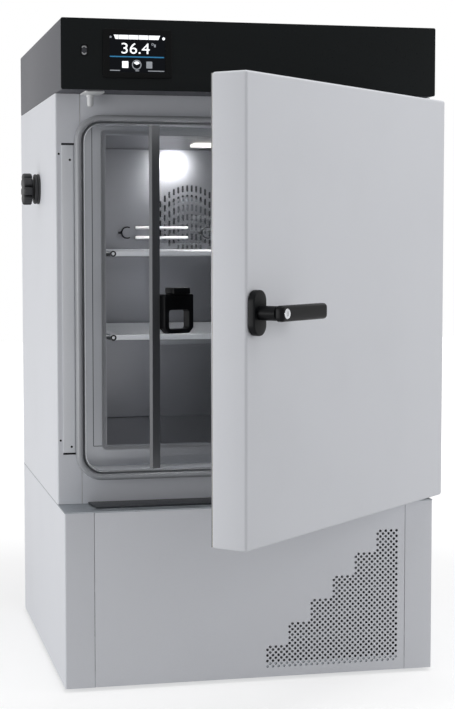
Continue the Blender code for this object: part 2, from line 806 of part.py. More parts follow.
def make_cabinet():
    low, high = LEDGE_Z + GAP, CONTROL_Z - GAP
    flange_x = SIDE_X - CABINET_FLANGE
    casing = folded(
        "cabinet_casing",
        [(-flange_x, FRAME_Y, 0), (-SIDE_X, FRAME_Y, 0), (-SIDE_X, BACK_Y, 0),
         (SIDE_X, BACK_Y, 0), (SIDE_X, FRAME_Y, 0), (flange_x, FRAME_Y, 0)],
        low, high - low, "z", SHEET, "white_paint",
    )
    cut(casing, port_bore("casing_port", SIDE_X + SHEET, SHEET * 4))
    cut(casing, shaft_bore("casing_shaft_bore", BACK_Y - SHEET * 2, SHEET * 3))

    frame_x = flange_x - SEAM
    throat_z = THROAT_MID - (low + high) / 2
    shift = Vector((0, throat_z))
    inner = SHEET + GAP
    room = rounded_rectangle(THROAT_W + 2 * inner, THROAT_H + 2 * inner, THROAT_R + inner)
    plate = rectangle(2 * frame_x, high - low)
    outline("front_frame", [plate, [p + shift for p in room]], SHEET,
            (0, FRAME_Y + SHEET / 2, (low + high) / 2), "white_paint")
    throat_edge = rounded_rectangle(THROAT_W + 2 * SHEET, THROAT_H + 2 * SHEET, THROAT_R + SHEET)
    throat_from, throat_to = FRAME_Y, LIP_Y - GAP
    outline("throat_lining", [throat_edge, rounded_rectangle(THROAT_W, THROAT_H, THROAT_R)],
            throat_to - throat_from, (0, (throat_from + throat_to) / 2, THROAT_MID), "stainless")

    liner_low = (-CHAMBER_W / 2 - SHEET, LIP_Y + inner, CHAMBER_Z - SHEET)
    liner_high = (CHAMBER_W / 2 + SHEET, LINER_Y + SHEET, CHAMBER_TOP + SHEET)
    liner = open_box("chamber_liner", liner_low, liner_high, SHEET, "-y", "stainless")
    chamber_shift = Vector((0, (CHAMBER_Z + CHAMBER_TOP) / 2 - THROAT_MID))
    mouth_edge = [p + chamber_shift for p in rectangle(CHAMBER_W, CHAMBER_H)]
    outline("chamber_lip", [throat_edge, mouth_edge], SHEET, (0, LIP_Y + SHEET / 2, THROAT_MID),
            "stainless")
    cut(liner, port_bore("liner_port", CHAMBER_W / 2 + SHEET * 2, SHEET * 3))
    cut(liner, shaft_bore("liner_shaft_bore", LINER_Y - SHEET, SHEET * 3))
    cut(liner, pipe_bore("liner_pipe_bore", CHAMBER_Z - SHEET * 2, SHEET * 3))

    foam_back = BACK_Y - inner
    foam = box("cabinet_insulation", (-SIDE_X + inner, FRAME_Y + inner, low),
               (SIDE_X - inner, foam_back, high), "foam")
    mouth_to = LIP_Y + inner
    mouth_from = FRAME_Y - inner
    mouth = outline("foam_mouth", [room], mouth_to - mouth_from,
                    (0, (mouth_from + mouth_to) / 2, THROAT_MID))
    cut(foam, mouth)
    cut(foam, box("foam_hollow", (liner_low[0] - GAP, LIP_Y - inner, liner_low[2] - GAP),
                  (liner_high[0] + GAP, liner_high[1] + GAP, liner_high[2] + GAP)))
    cut(foam, port_bore("foam_port", SIDE_X, SIDE_X - CHAMBER_W / 2 + SHEET))
    cut(foam, shaft_bore("foam_shaft_bore", LINER_Y, BACK_Y - LINER_Y))
    cut(foam, pipe_bore("foam_pipe_bore", low - SHEET, CHAMBER_Z - low))

    seal = [
        rounded_rectangle(CHAMBER_W + 2 * (inner + GLASS_SEAL_W), CHAMBER_H + 2 * (inner + GLASS_SEAL_W),
                          GLASS_SEAL_W, 2),
        rectangle(CHAMBER_W + 2 * inner, CHAMBER_H + 2 * inner),
    ]
    outline("glass_seal", seal, GLASS_SEAL_T,
            (0, SEAL_FRONT + GLASS_SEAL_T / 2, CHAMBER_Z + CHAMBER_H / 2), "silicone")


def port_bore(name, outer_x, length):
    """Bore of the access port through the left wall, from outer_x inwards."""
    return rod(name, (-outer_x, PORT_Y, PORT_Z), length, PORT_TUBE_R + GAP, "x", sides=24)


def shaft_bore(name, y, length):
    return rod(name, (GRILLE_X, y, FAN_Z), length, SHAFT_R + RUN, "y")


def make_chamber_fittings():
    half_w = CHAMBER_W / 2 - GAP
    baffle = box("fan_baffle", (-half_w, BAFFLE_Y, CHAMBER_Z + GAP),
                 (half_w, BAFFLE_Y + SHEET, CHAMBER_TOP - GAP), "stainless")
    slots = []
    for dx in grid(int(2 * GRILLE_R / GRILLE_PITCH), GRILLE_PITCH):
        half = math.sqrt(GRILLE_R**2 - dx**2)
        x = GRILLE_X + dx
        slots.append(box("slot", (x - GRILLE_SLOT / 2, BAFFLE_Y - SHEET, FAN_Z - half),
                         (x + GRILLE_SLOT / 2, BAFFLE_Y + SHEET * 2, FAN_Z + half)))
    cut(baffle, many("grille_cutter", slots))

    seat_y = LINER_Y - GAP
    z = CHAMBER_Z + EVAPORATOR_RISE
    evaporator = box("evaporator", (-EVAPORATOR_W / 2, seat_y - EVAPORATOR_D, z),
                     (EVAPORATOR_W / 2, seat_y, z + EVAPORATOR_H), "aluminium")
    half_slot = (COIL_PITCH - COIL_FIN) / 2
    fin_slots = [
        box("fin_slot", (x - half_slot, seat_y - EVAPORATOR_D * 2, z + COIL_HEADER),
            (x + half_slot, seat_y + EVAPORATOR_D, z + EVAPORATOR_H - COIL_HEADER))
        for x in grid(int((EVAPORATOR_W - COIL_FIN) / COIL_PITCH), COIL_PITCH)
    ]
    cut(evaporator, many("evaporator_fin_cutter", fin_slots))

    heater_z = CHAMBER_Z + HEATER_RISE
    heater_y = seat_y - HEATER_R
    bend = HEATER_H / 2
    u_bend = [
        (HEATER_W / 2 + bend * math.cos(a), heater_y, heater_z + bend + bend * math.sin(a))
        for a in [(-0.5 + i / 8) * math.pi for i in range(9)]
    ]
    tube("heater_element",
         [(-HEATER_W / 2, heater_y, heater_z), *u_bend, (-HEATER_W / 2, heater_y, heater_z + HEATER_H)],
         HEATER_R, "black_enamel")

    rotor_y = BAFFLE_Y + SHEET + (PLENUM - ROTOR_L) / 2 + ROTOR_L / 2
    axis = empty("circulation_fan_axis", (GRILLE_X, rotor_y, FAN_Z))
    hub = (GRILLE_X, rotor_y, FAN_Z)
    rotor = fan("circulation_fan", hub, ROTOR_R, ROTOR_HUB_R, ROTOR_L, ROTOR_BLADES, 0.0)
    shaft_from = rotor_y + ROTOR_L / 2 - BITE
    shaft = rod("fan_shaft", (GRILLE_X, shaft_from, FAN_Z), BACK_Y - shaft_from, SHAFT_R, "y")
    hang(axis, weld(rotor, shaft))

    rear = BACK_Y + GAP
    rod("circulation_motor", (GRILLE_X, rear, FAN_Z), STIR_MOTOR_L, STIR_MOTOR_R, "y", "black_enamel", 24)
    open_box("rear_motor_cover", (GRILLE_X - COVER_W / 2, rear, FAN_Z - COVER_H / 2),
             (GRILLE_X + COVER_W / 2, rear + COVER_D, FAN_Z + COVER_H / 2), SHEET, "-y", "white_paint")

    lamp_y = LIP_Y + LAMP_SETBACK
    box("chamber_lamp", (LAMP_X - LAMP_W / 2, lamp_y - LAMP_D / 2, CHAMBER_TOP - GAP - LAMP_T),
        (LAMP_X + LAMP_W / 2, lamp_y + LAMP_D / 2, CHAMBER_TOP - GAP), "lamp", rounded=LAMP_T / 3)

    probe_z = CHAMBER_Z + PROBE_RISE
    clip_h = PROBE_PITCH + 4 * PROBE_R
    clip_y = BAFFLE_Y - GAP - PROBE_STAND - 2 * PROBE_R
    probes = box("probe_pair", (PROBE_X - CLIP_W / 2, clip_y, probe_z - clip_h / 2),
                 (PROBE_X + CLIP_W / 2, BAFFLE_Y - GAP, probe_z + clip_h / 2), "stainless")
    rods = [
        rod("probe", (PROBE_X, BAFFLE_Y - PROBE_STAND, probe_z + dz), PROBE_L, PROBE_R, "x", sides=12)
        for dz in grid(2, PROBE_PITCH)
    ]
    weld(probes, many("probe_rods", rods))


def make_shelves():
    front, back = LIP_Y + SHELF_SETBACK, BAFFLE_Y - SHELF_REAR_GAP
    wall = CHAMBER_W / 2 - GAP
    inset = SHELF_LIP + SHELF_TRAVEL
    for side, sign in (("left", -1), ("right", 1)):
        posts = []
        for y in (front + inset, back - inset - RACK_POST):
            posts.append(box("post", (min(sign * wall, sign * (wall - RACK_T)), y, CHAMBER_Z + GAP),
                             (max(sign * wall, sign * (wall - RACK_T)), y + RACK_POST, CHAMBER_TOP - GAP)))
        ledges = []
        for rise in SHELF_RISES.values():
            seat = CHAMBER_Z + rise - SHEET - GAP
            ends = sorted((sign * (wall - BITE), sign * (wall - RACK_LEDGE)))
            ledges.append((ends[0], front + inset - BITE, seat - RACK_T, ends[1], back - inset + BITE, seat))
        first, *rest = ledges
        rack = box(f"shelf_rack_{side}", first[:3], first[3:], "stainless")
        weld(rack, *posts)
        for ledge in rest:
            weld(rack, box("ledge", ledge[:3], ledge[3:]))

    for name, rise in SHELF_RISES.items():
        top = CHAMBER_Z + rise
        shelf = folded(
            name,
            [(0, front, top - SHELF_LIP), (0, front, top), (0, back, top), (0, back, top - SHELF_LIP)],
            -SHELF_W / 2, SHELF_W, "x", SHEET, "stainless",
        )
        across = int((SHELF_W - SHELF_HOLE_PITCH / 2) / SHELF_HOLE_PITCH)
        deep = int((back - front - SHELF_HOLE_PITCH / 2) / SHELF_HOLE_PITCH)
        holes = [
            rod("hole", (x, (front + back) / 2 + y, top - SHEET * 2), SHEET * 3, SHELF_HOLE_R, "z", sides=6)
            for x in grid(across, SHELF_HOLE_PITCH) for y in grid(deep, SHELF_HOLE_PITCH)
        ]
        cut(shelf, many(f"{name}_cutter", holes))


def make_frame_fittings():
    inner_w, inner_h = THROAT_W + 2 * GASKET_EDGE, THROAT_H - 2 * BITE
    gasket_t = DOOR_GAP - 3 * GAP - BITE
    ring = [
        rounded_rectangle(inner_w + 2 * GASKET_W, inner_h + 2 * GASKET_W, GASKET_R),
        rounded_rectangle(inner_w, inner_h, GASKET_R - GASKET_W),
    ]
    gasket_y = FRAME_Y - BITE - GAP - gasket_t / 2
    gasket = outline("door_gasket", ring, gasket_t, (0, gasket_y, THROAT_MID), "dark_rubber")
    round_edges(gasket, GASKET_ROUND)

    keeper_x = -SIDE_X + KEEPER_INSET
    keeper_z = LEDGE_Z + KEEPER_RISE
    box("keeper_strip", (keeper_x, FRAME_Y - GAP - KEEPER_T, keeper_z),
        (keeper_x + KEEPER_W, FRAME_Y - GAP, keeper_z + KEEPER_H), "grey_paint")
    box("drip_strip", (-DRIP_W / 2, FRAME_Y - GAP - DRIP_D, LEDGE_Z + GAP),
        (DRIP_W / 2, FRAME_Y - GAP, LEDGE_Z + GAP + DRIP_T), "dark_rubber")

    plate_top = CONTROL_Z - GAP
    sensor_y = FRAME_Y - SENSOR_T
    sensor = box("door_sensor", (SENSOR_X - SENSOR_W / 2, sensor_y - SENSOR_D, plate_top - SENSOR_T),
                 (SENSOR_X + SENSOR_W / 2, sensor_y, plate_top), "white_plastic")
    pin_y = FRAME_Y - DOOR_GAP / 2
    weld(sensor, rod("sensor_pin", (SENSOR_X, pin_y, plate_top - SENSOR_T - SENSOR_PIN_L),
                     SENSOR_PIN_L + BITE, SENSOR_PIN_R, "z"))

    tube_l = SIDE_X + GAP - CHAMBER_W / 2
    flange_x = -SIDE_X - GAP - PORT_FLANGE_T
    sleeve = rod("port_sleeve", (-SIDE_X - GAP - BITE, PORT_Y, PORT_Z), tube_l + BITE,
                 PORT_TUBE_R, "x", "black_plastic", 24)
    weld(sleeve, rod("sleeve_flange", (flange_x, PORT_Y, PORT_Z), PORT_FLANGE_T,
                     PORT_FLANGE_R, "x", sides=24))
    cut(sleeve, rod("sleeve_bore", (flange_x - SHEET, PORT_Y, PORT_Z), tube_l + 4 * PORT_FLANGE_T,
                    PORT_BORE_R, "x", sides=24))

    steps = [PLUG_KNOB_L, PLUG_NECK_L, PLUG_FLANGE_T, PLUG_STEM_L]
    radii = [PLUG_KNOB_R, PLUG_NECK_R, PORT_FLANGE_R, PORT_BORE_R - GAP]
    profile = [(0, 0)]
    depth = 0.0
    for radius, step in zip(radii, steps):
        profile += [(radius, depth), (radius, depth - step)]
        depth -= step
    profile.append((0, depth))
    knob_x = flange_x - GAP - sum(steps[:3])
    axis = empty("port_plug_axis", (knob_x, PORT_Y, PORT_Z))
    plug = turned("port_plug", profile, (knob_x, PORT_Y, PORT_Z), "x", "black_plastic", steps=24)
    plug.rotation_euler = (0, -math.pi / 2, 0)
    hang(axis, plug)

    hinge_bracket("lower_hinge_bracket", LEDGE_Z + GAP, LEDGE_Z + GAP + BRACKET_T, HINGE_PIN_L)
    hinge_bracket("upper_hinge_bracket", CONTROL_Z - GAP - BRACKET_T, CONTROL_Z - GAP, -HINGE_PIN_L)


def hinge_bracket(name, low, high, pin):
    """A flat plate by the frame's right side with a pin into the door."""
    right = SIDE_X - BRACKET_EDGE
    bracket = box(name, (right - BRACKET_W, HINGE_Y - BRACKET_FRONT, low),
                  (right, FRAME_Y - GAP, high), "stainless")
    start = high - BITE if pin > 0 else low + BITE + pin
    return weld(bracket, rod(f"{name}_pin", (HINGE_X, HINGE_Y, start), abs(pin), HINGE_PIN_R, "z"))


def make_outer_door():
    axis = empty("outer_door_axis", (HINGE_X, HINGE_Y, DOOR_Z), DOOR_OPEN)
    panel_y = DOOR_BACK - SHEET
    skin = open_box("door_skin", (-SIDE_X, DOOR_FRONT, DOOR_Z), (SIDE_X, panel_y - GAP, DOOR_TOP), SHEET,
                    "+y", "white_paint")
    inner = SHEET + GAP
    core = box("door_core", (-SIDE_X + inner, DOOR_FRONT + inner, DOOR_Z + inner),
               (SIDE_X - inner, panel_y - GAP, DOOR_TOP - inner), "foam")
    panel = box("door_inner_panel", (-SIDE_X, panel_y, DOOR_Z), (SIDE_X, DOOR_BACK, DOOR_TOP),
                "white_paint")
    for name, z in (("lower", DOOR_Z - SHEET), ("upper", DOOR_TOP - HINGE_PIN_L - BRACKET_T)):
        bore = rod(f"{name}_pin_bore", (HINGE_X, HINGE_Y, z), HINGE_PIN_L + BRACKET_T + SHEET,
                   HINGE_PIN_R + RUN, "z")
        cut(skin, bore)
        cut(core, bore)
        hang(axis, bore)
    spindle_bore = rod("spindle_bore", (LEVER_X, DOOR_FRONT - SHEET, LEVER_Z), DOOR_T + 2 * SHEET,
                       SPINDLE_R + RUN, "y")
    for piece in (skin, core, panel):
        cut(piece, spindle_bore)
    plate = outline("handle_plate", [rounded_rectangle(PLATE_W, PLATE_H, PLATE_R)], PLATE_T,
                    (LEVER_X, DOOR_FRONT - GAP - PLATE_T / 2, LEVER_Z), "black_plastic")
    plate_bore = rod("plate_bore", (LEVER_X, DOOR_FRONT - PLATE_T - SHEET, LEVER_Z), PLATE_T + 2 * SHEET,
                     SPINDLE_R + RUN, "y")
    cut(plate, plate_bore)
    hang(axis, skin, core, panel, plate, spindle_bore, plate_bore)

    lever_axis = empty("lever_axis", (LEVER_X, DOOR_FRONT, LEVER_Z), parent=axis)
    neck_back = DOOR_FRONT - GAP - PLATE_T - GAP
    grip_back = neck_back - NECK_L
    middle = LEVER_X + (LEVER_L - LEVER_H / 2) / 2
    grip = [rounded_rectangle(LEVER_L + LEVER_H / 2, LEVER_H, LEVER_H / 2 - BITE)]
    lever = outline("door_lever", grip, LEVER_T, (middle, grip_back - LEVER_T / 2, LEVER_Z),
                    "black_plastic")
    neck = rod("lever_neck", (LEVER_X, grip_back - BITE, LEVER_Z), NECK_L + BITE, NECK_R, "y", sides=20)
    spindle_l = DOOR_BACK + GAP + BITE - neck_back
    spindle = rod("lever_spindle", (LEVER_X, neck_back - BITE, LEVER_Z), spindle_l + BITE, SPINDLE_R, "y")
    cam = outline("lever_cam", [rounded_rectangle(CAM_L, CAM_H, CAM_H / 2 - BITE)], CAM_T,
                  (LEVER_X - (CAM_L - CAM_H) / 2, DOOR_BACK + GAP + CAM_T / 2, LEVER_Z))
    pocket = rod("lock_pocket", (LEVER_X, grip_back - LEVER_T - SHEET, LEVER_Z), LOCK_DEPTH + SHEET,
                 LOCK_R + GAP, "y", sides=20)
    weld(lever, neck, spindle, cam)
    cut(lever, pocket)
    lock_front = grip_back - LEVER_T - LOCK_PROUD
    lock = rod("lock_cylinder", (LEVER_X, lock_front, LEVER_Z), LOCK_DEPTH + LOCK_PROUD - GAP, LOCK_R, "y",
               "stainless", sides=20)
    slot = box("key_slot", (LEVER_X - KEY_SLOT_W / 2, lock_front - SHEET, LEVER_Z - KEY_SLOT_H / 2),
               (LEVER_X + KEY_SLOT_W / 2, lock_front + LOCK_DEPTH / 2, LEVER_Z + KEY_SLOT_H / 2))
    cut(lock, slot)
    hang(lever_axis, lever, neck, spindle, cam, pocket, lock, slot)


def make_glass_door():
    axis = empty("glass_door_axis", (GLASS_HINGE_X, GLASS_Y, GLASS_Z), GLASS_OPEN)
    front, back = GLASS_Y - GLASS_T / 2, GLASS_Y + GLASS_T / 2
    pane = box("glass_pane", (-GLASS_W / 2, front, GLASS_Z), (GLASS_W / 2, back, GLASS_TOP), "glass")
    strip_x = -GLASS_W / 2 + STRIP_EDGE
    strip = box("glass_edge_strip", (strip_x, front - GAP - STRIP_T, GLASS_Z),
                (strip_x + STRIP_W, front - GAP, GLASS_TOP), "dark_rubber")
    pull_x = -GLASS_W / 2 + PULL_EDGE + PULL_W / 2
    pull_z = GLASS_Z + PULL_RISE + PULL_H / 2
    half_w, half_h, c = PULL_W / 2, PULL_H / 2, PULL_CHAMFER
    body = [(-half_w, half_h), (-half_w, c - half_h), (c - half_w, -half_h), (half_w - c, -half_h),
            (half_w, c - half_h), (half_w, half_h)]
    drop = Vector((0, WINDOW_RISE + WINDOW_H / 2 - half_h))
    window = [p + drop for p in rounded_rectangle(WINDOW_W, WINDOW_H, PULL_CHAMFER / 2, 2)]
    pull = outline("glass_pull", [body, window], PULL_T,
                   (pull_x, front - GAP - PULL_T / 2, pull_z), "black_plastic")
    cap = box("pull_cap", (pull_x - CAP_W / 2, front - GAP - CAP_T, pull_z + half_h - BITE),
              (pull_x + CAP_W / 2, front - GAP, pull_z + half_h + CAP_H))
    weld(pull, cap)
    fittings = []
    right = GLASS_W / 2
    upper, lower = GLASS_TOP + GAP, GLASS_Z - GAP - FITTING_H
    for name, low, pin_from, pin_to in (
        ("glass_hinge_upper", upper, upper + FITTING_H - BITE, THROAT_Z + THROAT_H - GAP),
        ("glass_hinge_lower", lower, THROAT_Z + GAP, lower + BITE),
    ):
        block = box(name, (right - FITTING_W, back - FITTING_D, low),
                    (right, back, low + FITTING_H), "stainless")
        pin = rod(f"{name}_pin", (GLASS_HINGE_X, GLASS_Y, pin_from), pin_to - pin_from,
                  FITTING_PIN_R, "z", sides=12)
        fittings += [weld(block, pin), pin]
    hang(axis, pane, strip, pull, cap, *fittings)


def make_control_box():
    fascia_back = CONTROL_Y + FASCIA_T
    open_box("control_casing", (-SIDE_X, fascia_back + GAP, CONTROL_Z), (SIDE_X, BACK_Y, TOP_Z), SHEET,
             "-y", "graphite_paint")
    fascia = box("control_fascia", (-SIDE_X, CONTROL_Y, CONTROL_Z), (SIDE_X, fascia_back, TOP_Z),
                 "black_panel")
    display_z = CONTROL_Z + DISPLAY_RISE
    hole = rectangle(SCREEN_W + 2 * GAP, SCREEN_H + 2 * GAP)
    cut(fascia, outline("display_cutter", [hole], FASCIA_T * 3, (DISPLAY_X, CONTROL_Y, display_z)))
    outline("display_bezel", [rounded_rectangle(BEZEL_W, BEZEL_H, BEZEL_R), hole], BEZEL_T,
            (DISPLAY_X, CONTROL_Y - GAP - BEZEL_T / 2, display_z), "black_panel")
    screen_y = CONTROL_Y - GAP - BEZEL_T + SCREEN_SUNK
    box("display_screen", (DISPLAY_X - SCREEN_W / 2, screen_y, display_z - SCREEN_H / 2),
        (DISPLAY_X + SCREEN_W / 2, screen_y + SCREEN_T, display_z + SCREEN_H / 2), "screen")

    socket_z = CONTROL_Z + SOCKET_RISE
    stadium = rounded_rectangle(SOCKET_W, SOCKET_H, SOCKET_W / 2 - GAP)
    room = rounded_rectangle(SOCKET_W + 2 * GAP, SOCKET_H + 2 * GAP, SOCKET_W / 2)
    cut(fascia, outline("socket_cutter", [room], FASCIA_T * 3, (SOCKET_X, CONTROL_Y, socket_z)))
    socket_y = CONTROL_Y - SOCKET_PROUD
    socket = outline("service_socket", [stadium], SOCKET_L, (SOCKET_X, socket_y + SOCKET_L / 2, socket_z),
                     "black_plastic")
    half = SOCKET_SLOT_W / 2, SOCKET_SLOT_H / 2
    cut(socket, box("socket_slot", (SOCKET_X - half[0], socket_y - SHEET, socket_z - half[1]),
                    (SOCKET_X + half[0], socket_y + SOCKET_SLOT_L, socket_z + half[1])))

    floor = CONTROL_Z + SHEET + GAP
    x, y = BOARD_AT
    half = BOARD_SIZE[0] / 2, BOARD_SIZE[1] / 2
    board_z = floor + BOARD_STAND
    board = box("control_board", (x - half[0], y - half[1], board_z),
                (x + half[0], y + half[1], board_z + BOARD_SIZE[2]), "board")
    stands = [
        rod("stand", (x + sx * (half[0] - BOARD_STAND), y + sy * (half[1] - BOARD_STAND), floor),
            BOARD_STAND + BITE, BOARD_STAND / 3, "z", sides=8)
        for sx in (-1, 1) for sy in (-1, 1)
    ]
    weld(board, many("board_stands", stands))
    x, y = SUPPLY_AT
    half = SUPPLY_SIZE[0] / 2, SUPPLY_SIZE[1] / 2
    box("power_supply", (x - half[0], y - half[1], floor),
        (x + half[0], y + half[1], floor + SUPPLY_SIZE[2]), "aluminium")


clear_scene()
PARTS = new_collection("refrigerated_incubator")
CUTTERS = new_collection("cutters")
CUTTERS.hide_render = True
make_base()
make_cooling_machine()
make_cabinet()
make_chamber_fittings()
make_shelves()
make_frame_fittings()
make_outer_door()
make_glass_door()
make_control_box()
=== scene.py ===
import math

import bmesh
import bpy
from mathutils import Euler, Matrix, Vector


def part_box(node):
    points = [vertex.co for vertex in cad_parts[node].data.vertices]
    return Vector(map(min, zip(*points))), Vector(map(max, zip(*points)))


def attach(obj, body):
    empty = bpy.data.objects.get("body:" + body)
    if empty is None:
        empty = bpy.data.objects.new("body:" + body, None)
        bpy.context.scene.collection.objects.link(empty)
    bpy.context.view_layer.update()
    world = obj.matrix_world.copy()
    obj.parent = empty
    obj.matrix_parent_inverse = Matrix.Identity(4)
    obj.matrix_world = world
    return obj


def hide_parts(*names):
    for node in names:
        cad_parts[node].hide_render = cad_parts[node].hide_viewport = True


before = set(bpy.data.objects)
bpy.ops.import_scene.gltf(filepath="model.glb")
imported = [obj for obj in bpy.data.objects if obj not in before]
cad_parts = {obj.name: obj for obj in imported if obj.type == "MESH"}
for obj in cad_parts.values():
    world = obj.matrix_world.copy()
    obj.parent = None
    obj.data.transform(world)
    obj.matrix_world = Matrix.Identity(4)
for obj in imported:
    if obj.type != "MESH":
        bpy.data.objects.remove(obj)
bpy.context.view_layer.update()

# planes that the pieces share, in metres
sideX, frontY, backY, frameY = 0.325, -0.320, 0.320, -0.232
upright = (math.radians(90), 0.0, 0.0)      # turns what is drawn flat to face the front


def hingeTurn(x, y, degrees):
    # from a door drawn closed to the door as it stands
    return (Matrix.Translation((x, y, 0.0)) @ Matrix.Rotation(math.radians(degrees), 4, "Z")
            @ Matrix.Translation((-x, -y, 0.0)))


doorTurn = hingeTurn(0.315, -0.2738, 44.09)
glassTurn = hingeTurn(0.2405, -0.1841, 27.0)

for startupName in ("Cube", "Light", "Camera"):
    if startupName in bpy.data.objects:
        bpy.data.objects.remove(bpy.data.objects[startupName])
scene = bpy.context.scene
scene.view_settings.view_transform = "Standard"
print("frame loaded,", len(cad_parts), "nodes")


# camera, lamps, floor

studio = {
    "cameraPlace": (-0.6771, -3.0556, 0.7661),
    "cameraAngles": (85.947, 0.0, -13.007),
    "lens": 84.16,
    "worldGrey": 0.30,
    "floorGlow": 0.56,
    "floorPaint": 0.60,
    "floorSize": 9.0,
    "floorFade": (0.9, 2.6),        # from the shadow's grey to white, metres from the middle
    "lamps": {      # place, target, width, height, watts
        "lampLeft": ((-3.2, -0.65, 0.60), (-0.3, 0.0, 0.3), 2.2, 1.1, 37.0),
        "lampRight": ((2.8, -2.0, 1.3), (0.1, -0.5, 0.6), 1.8, 2.2, 27.0),
        "lampTop": ((0.2, -0.3, 3.3), (0.0, 0.0, 1.0), 2.2, 2.2, 42.0),
        "lampChamber": ((0.005, 0.050, 0.9362), (0.0, 0.110, 0.5), 0.05, 0.06, 2.4),
    },
}


def addNode(tree, kind, inputs=None, **settings):
    node = tree.nodes.new(kind)
    for key, value in settings.items():
        setattr(node, key, value)
    for key, value in (inputs or {}).items():
        if isinstance(value, bpy.types.NodeSocket):
            tree.links.new(value, node.inputs[key])
        else:
            node.inputs[key].default_value = value
    return node


def reckon(tree, operation, *values):
    return addNode(tree, "ShaderNodeMath", dict(enumerate(values)), operation=operation).outputs[0]


def ranged(tree, value, fromLow, fromHigh, toLow, toHigh):
    return addNode(tree, "ShaderNodeMapRange",
                   {"Value": value, "From Min": fromLow, "From Max": fromHigh, "To Min": toLow,
                    "To Max": toHigh}).outputs[0]


def addCamera():
    camera = bpy.data.objects.new("camera", bpy.data.cameras.new("camera"))
    camera.data.lens = studio["lens"]
    camera.data.sensor_width = 36.0
    camera.data.clip_start = 0.05
    camera.location = studio["cameraPlace"]
    camera.rotation_euler = Euler([math.radians(a) for a in studio["cameraAngles"]])
    scene.collection.objects.link(camera)
    scene.camera = camera


def addLamp(name, place, target, width, height, watts):
    light = bpy.data.lights.new(name, "AREA")
    light.shape = "RECTANGLE"
    light.size, light.size_y = width, height
    light.energy = watts
    lamp = bpy.data.objects.new(name, light)
    lamp.location = place
    lamp.rotation_euler = (Vector(target) - Vector(place)).to_track_quat("-Z", "Y").to_euler()
    scene.collection.objects.link(lamp)


def seenRays(tree):
    # 1 where the camera, a gloss or a glass looks straight at it
    path = addNode(tree, "ShaderNodeLightPath").outputs
    seen = reckon(tree, "MAXIMUM", path["Is Camera Ray"], path["Is Glossy Ray"])
    return reckon(tree, "MAXIMUM", seen, path["Is Transmission Ray"])


def addWorld():
    world = bpy.data.worlds.new("studioWorld")
    world.use_nodes = True
    scene.world = world
    tree = world.node_tree
    tree.nodes.clear()
    grey = studio["worldGrey"]
    dim = addNode(tree, "ShaderNodeBackground", {"Color": (grey, grey, grey * 1.02, 1.0)})
    white = addNode(tree, "ShaderNodeBackground", {"Color": (1.0, 1.0, 1.0, 1.0)})
    mix = addNode(tree, "ShaderNodeMixShader",
                  {0: seenRays(tree), 1: dim.outputs[0], 2: white.outputs[0]})
    addNode(tree, "ShaderNodeOutputWorld", {"Surface": mix.outputs[0]})


def addFloor():
    bm = bmesh.new()
    bmesh.ops.create_grid(bm, x_segments=1, y_segments=1, size=studio["floorSize"])
    mesh = bpy.data.meshes.new("floor")
    bm.to_mesh(mesh)
    bm.free()
    floor = bpy.data.objects.new("floor", mesh)
    scene.collection.objects.link(floor)
    material = bpy.data.materials.new("floorPaper")
    material.use_nodes = True
    tree = material.node_tree
    tree.nodes.clear()
    place = addNode(tree, "ShaderNodeTexCoord")
    away = addNode(tree, "ShaderNodeVectorMath", {0: place.outputs["Object"]}, operation="LENGTH")
    fade = ranged(tree, away.outputs["Value"], *studio["floorFade"], studio["floorGlow"], 1.0)
    glow = reckon(tree, "MULTIPLY", fade, seenRays(tree))
    shine = addNode(tree, "ShaderNodeEmission", {"Strength": glow})
    paint = studio["floorPaint"]
    dull = addNode(tree, "ShaderNodeBsdfDiffuse", {"Color": (paint, paint, paint, 1.0)})
    both = addNode(tree, "ShaderNodeAddShader", {0: shine.outputs[0], 1: dull.outputs[0]})
    addNode(tree, "ShaderNodeOutputMaterial", {"Surface": both.outputs[0]})
    mesh.materials.append(material)


addCamera()
addWorld()
addFloor()
for lampName, values in studio["lamps"].items():
    addLamp(lampName, *values)
print("camera, lamps and floor in place")


# finishes

def tone(red, green, blue):
    # a colour as a screen shows it, made linear
    channels = []
    for value in (red, green, blue):
        value /= 255.0
        channels.append(value / 12.92 if value <= 0.04045 else ((value + 0.055) / 1.055) ** 2.4)
    return (*channels, 1.0)


def noise(tree, place, scale, detail, roughness=0.5, stretch=None):
    if stretch:
        place = addNode(tree, "ShaderNodeMapping", {"Vector": place, "Scale": stretch}).outputs[0]
    return addNode(tree, "ShaderNodeTexNoise", {"Vector": place, "Scale": scale, "Detail": detail,
                                                "Roughness": roughness}).outputs["Fac"]


